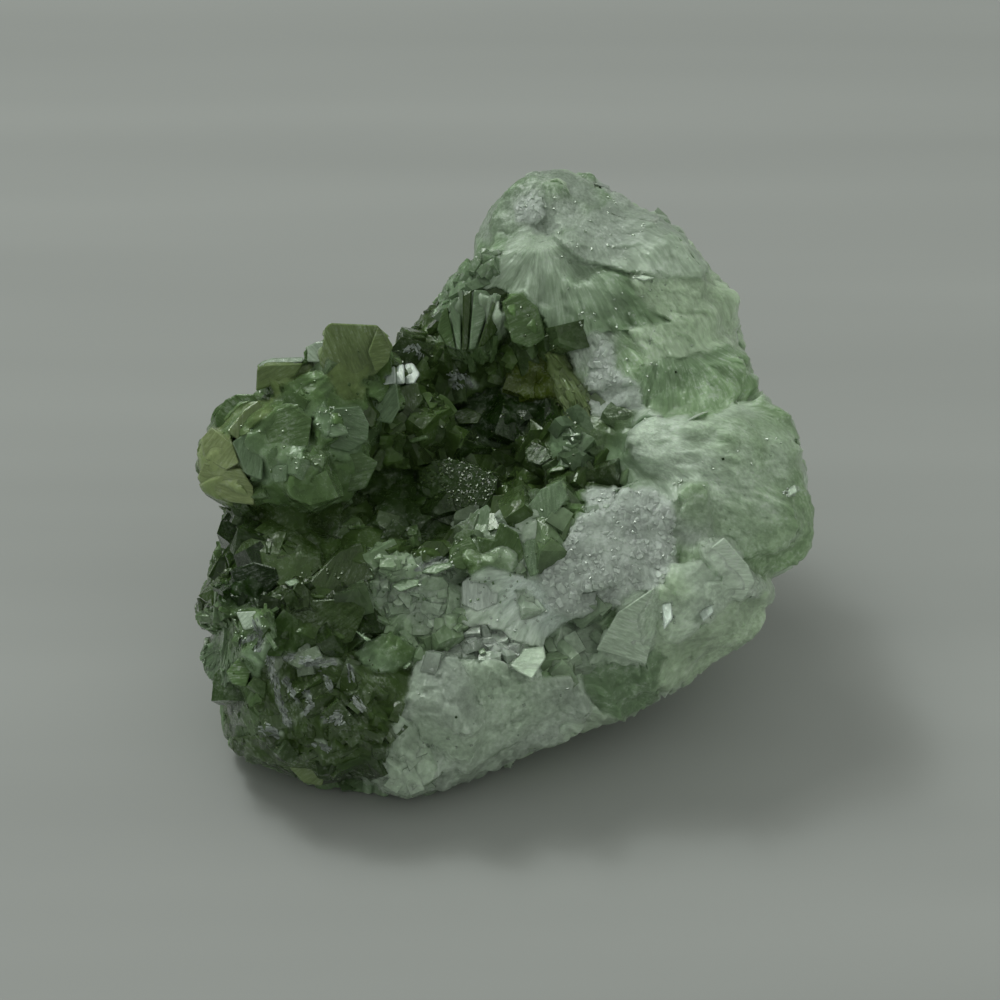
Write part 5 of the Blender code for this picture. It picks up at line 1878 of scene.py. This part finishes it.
@dataclass(frozen=True)
class Lamp:
    """A square soft lamp: its place and side in metres, power in watts and linear colour."""

    name: str
    place: tuple[float, float, float]
    size: float
    power: float
    colour: tuple[float, float, float]

    def hang(self, aim: tuple[float, float, float]) -> None:
        """Hangs the lamp so that it points at a place."""
        lamp = bpy.data.objects.new(self.name, bpy.data.lights.new(self.name, "AREA"))
        bpy.context.scene.collection.objects.link(lamp)
        lamp.data.size = self.size
        lamp.data.energy = self.power
        lamp.data.color = self.colour
        lamp.location = self.place
        lamp.rotation_euler = (Vector(aim) - Vector(self.place)).to_track_quat("-Z", "Y").to_euler()


@dataclass(frozen=True)
class Studio:
    """The soft light and the camera."""

    lamps: tuple[Lamp, ...] = (
        Lamp("window", WINDOW, 0.45, 3.9, (0.98, 1.0, 0.98)),
        Lamp("window_pane", WINDOW, 0.14, 1.3, (0.95, 1.0, 1.04)),
        Lamp("room", (0.5, -0.7, 0.9), 0.8, 0.5, (1.0, 1.0, 0.96)),
    )
    viewer: Viewer = Viewer()
    sensor: float = 36.0
    view_width: float = 70 * MM
    clip_start: float = 10 * MM
    sky: tuple[float, float, float, float] = (0.95, 0.98, 0.95, 1)
    sky_level: float = 0.50
    mirrored_wall: float = 0.015
    mirrored_ceiling: float = 0.25

    def build(self) -> None:
        """Sets up light and camera."""
        scene = bpy.context.scene
        scene.view_settings.view_transform = "Standard"
        self.sky_dome()
        for lamp in self.lamps:
            lamp.hang(self.viewer.aim)
        camera = bpy.data.objects.new("camera", bpy.data.cameras.new("camera"))
        scene.collection.objects.link(camera)
        camera.data.sensor_width = self.sensor
        camera.data.lens = self.sensor * self.viewer.distance / self.view_width
        camera.data.clip_start = self.clip_start
        camera.location = self.viewer.eye()
        camera.rotation_euler = (math.pi / 2 - self.viewer.elevation, 0, 0)
        scene.camera = camera

    def sky_dome(self) -> None:
        """Lights the room evenly. Glassy faces mirror a dim room with a light ceiling."""
        material = bpy.data.worlds.new("soft_room")
        bpy.context.scene.world = material
        material.use_nodes = True
        nodes = Nodes(material)
        background = material.node_tree.nodes["Background"]
        background.inputs["Color"].default_value = self.sky
        way = nodes.add("TexCoord").outputs["Generated"]
        height = nodes.add("SeparateXYZ", Vector=way).outputs["Z"]
        mirrored = nodes.add("MapRange", Value=height, n1=0.35, n2=1.0, n3=self.mirrored_wall,
                             n4=self.mirrored_ceiling).outputs[0]
        glossy = nodes.add("LightPath").outputs["Is Glossy Ray"]
        level = nodes.add("MapRange", Value=glossy, n3=self.sky_level, n4=mirrored).outputs[0]
        material.node_tree.links.new(level, background.inputs["Strength"])


def main() -> None:
    """Builds the stone's skin and crystals, the table and the light, and reports them."""
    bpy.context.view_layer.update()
    skin = StoneSkin()
    mass = PrehniteFinish("prehnite_mass", 1.0 * MM, 0.7, 0.0, 0.35, 0.14).material()
    silky = PrehniteFinish("prehnite_silky", 0.3 * MM, 0.4, 0.0, 0.3, 0.18).material()
    glassy = PrehniteFinish("prehnite_glassy", 0.35 * MM, 0.45, 0.2, 0.9, 0.08).material()
    dressed = [(skin.build(), mass)]
    large = LargeCrystals(skin)
    for crust in large.build() + GrainField(skin).build():
        dressed.append((crust.build(), silky if crust.silky else glassy))
    for crust in Strewn(large, [piece for piece, _ in dressed]).build():
        dressed.append((crust.build(), silky if crust.silky else glassy))
    for piece, material in dressed:
        piece.data.materials.append(material)
        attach(piece, "root")
        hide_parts(CAD_NODE)
        LOG.info("%s: %d faces", piece.name, len(piece.data.polygons))
    top = Table().build()
    LOG.info("%s: stage", top.name)
    Studio().build()


if __name__ == "__main__":
    main()
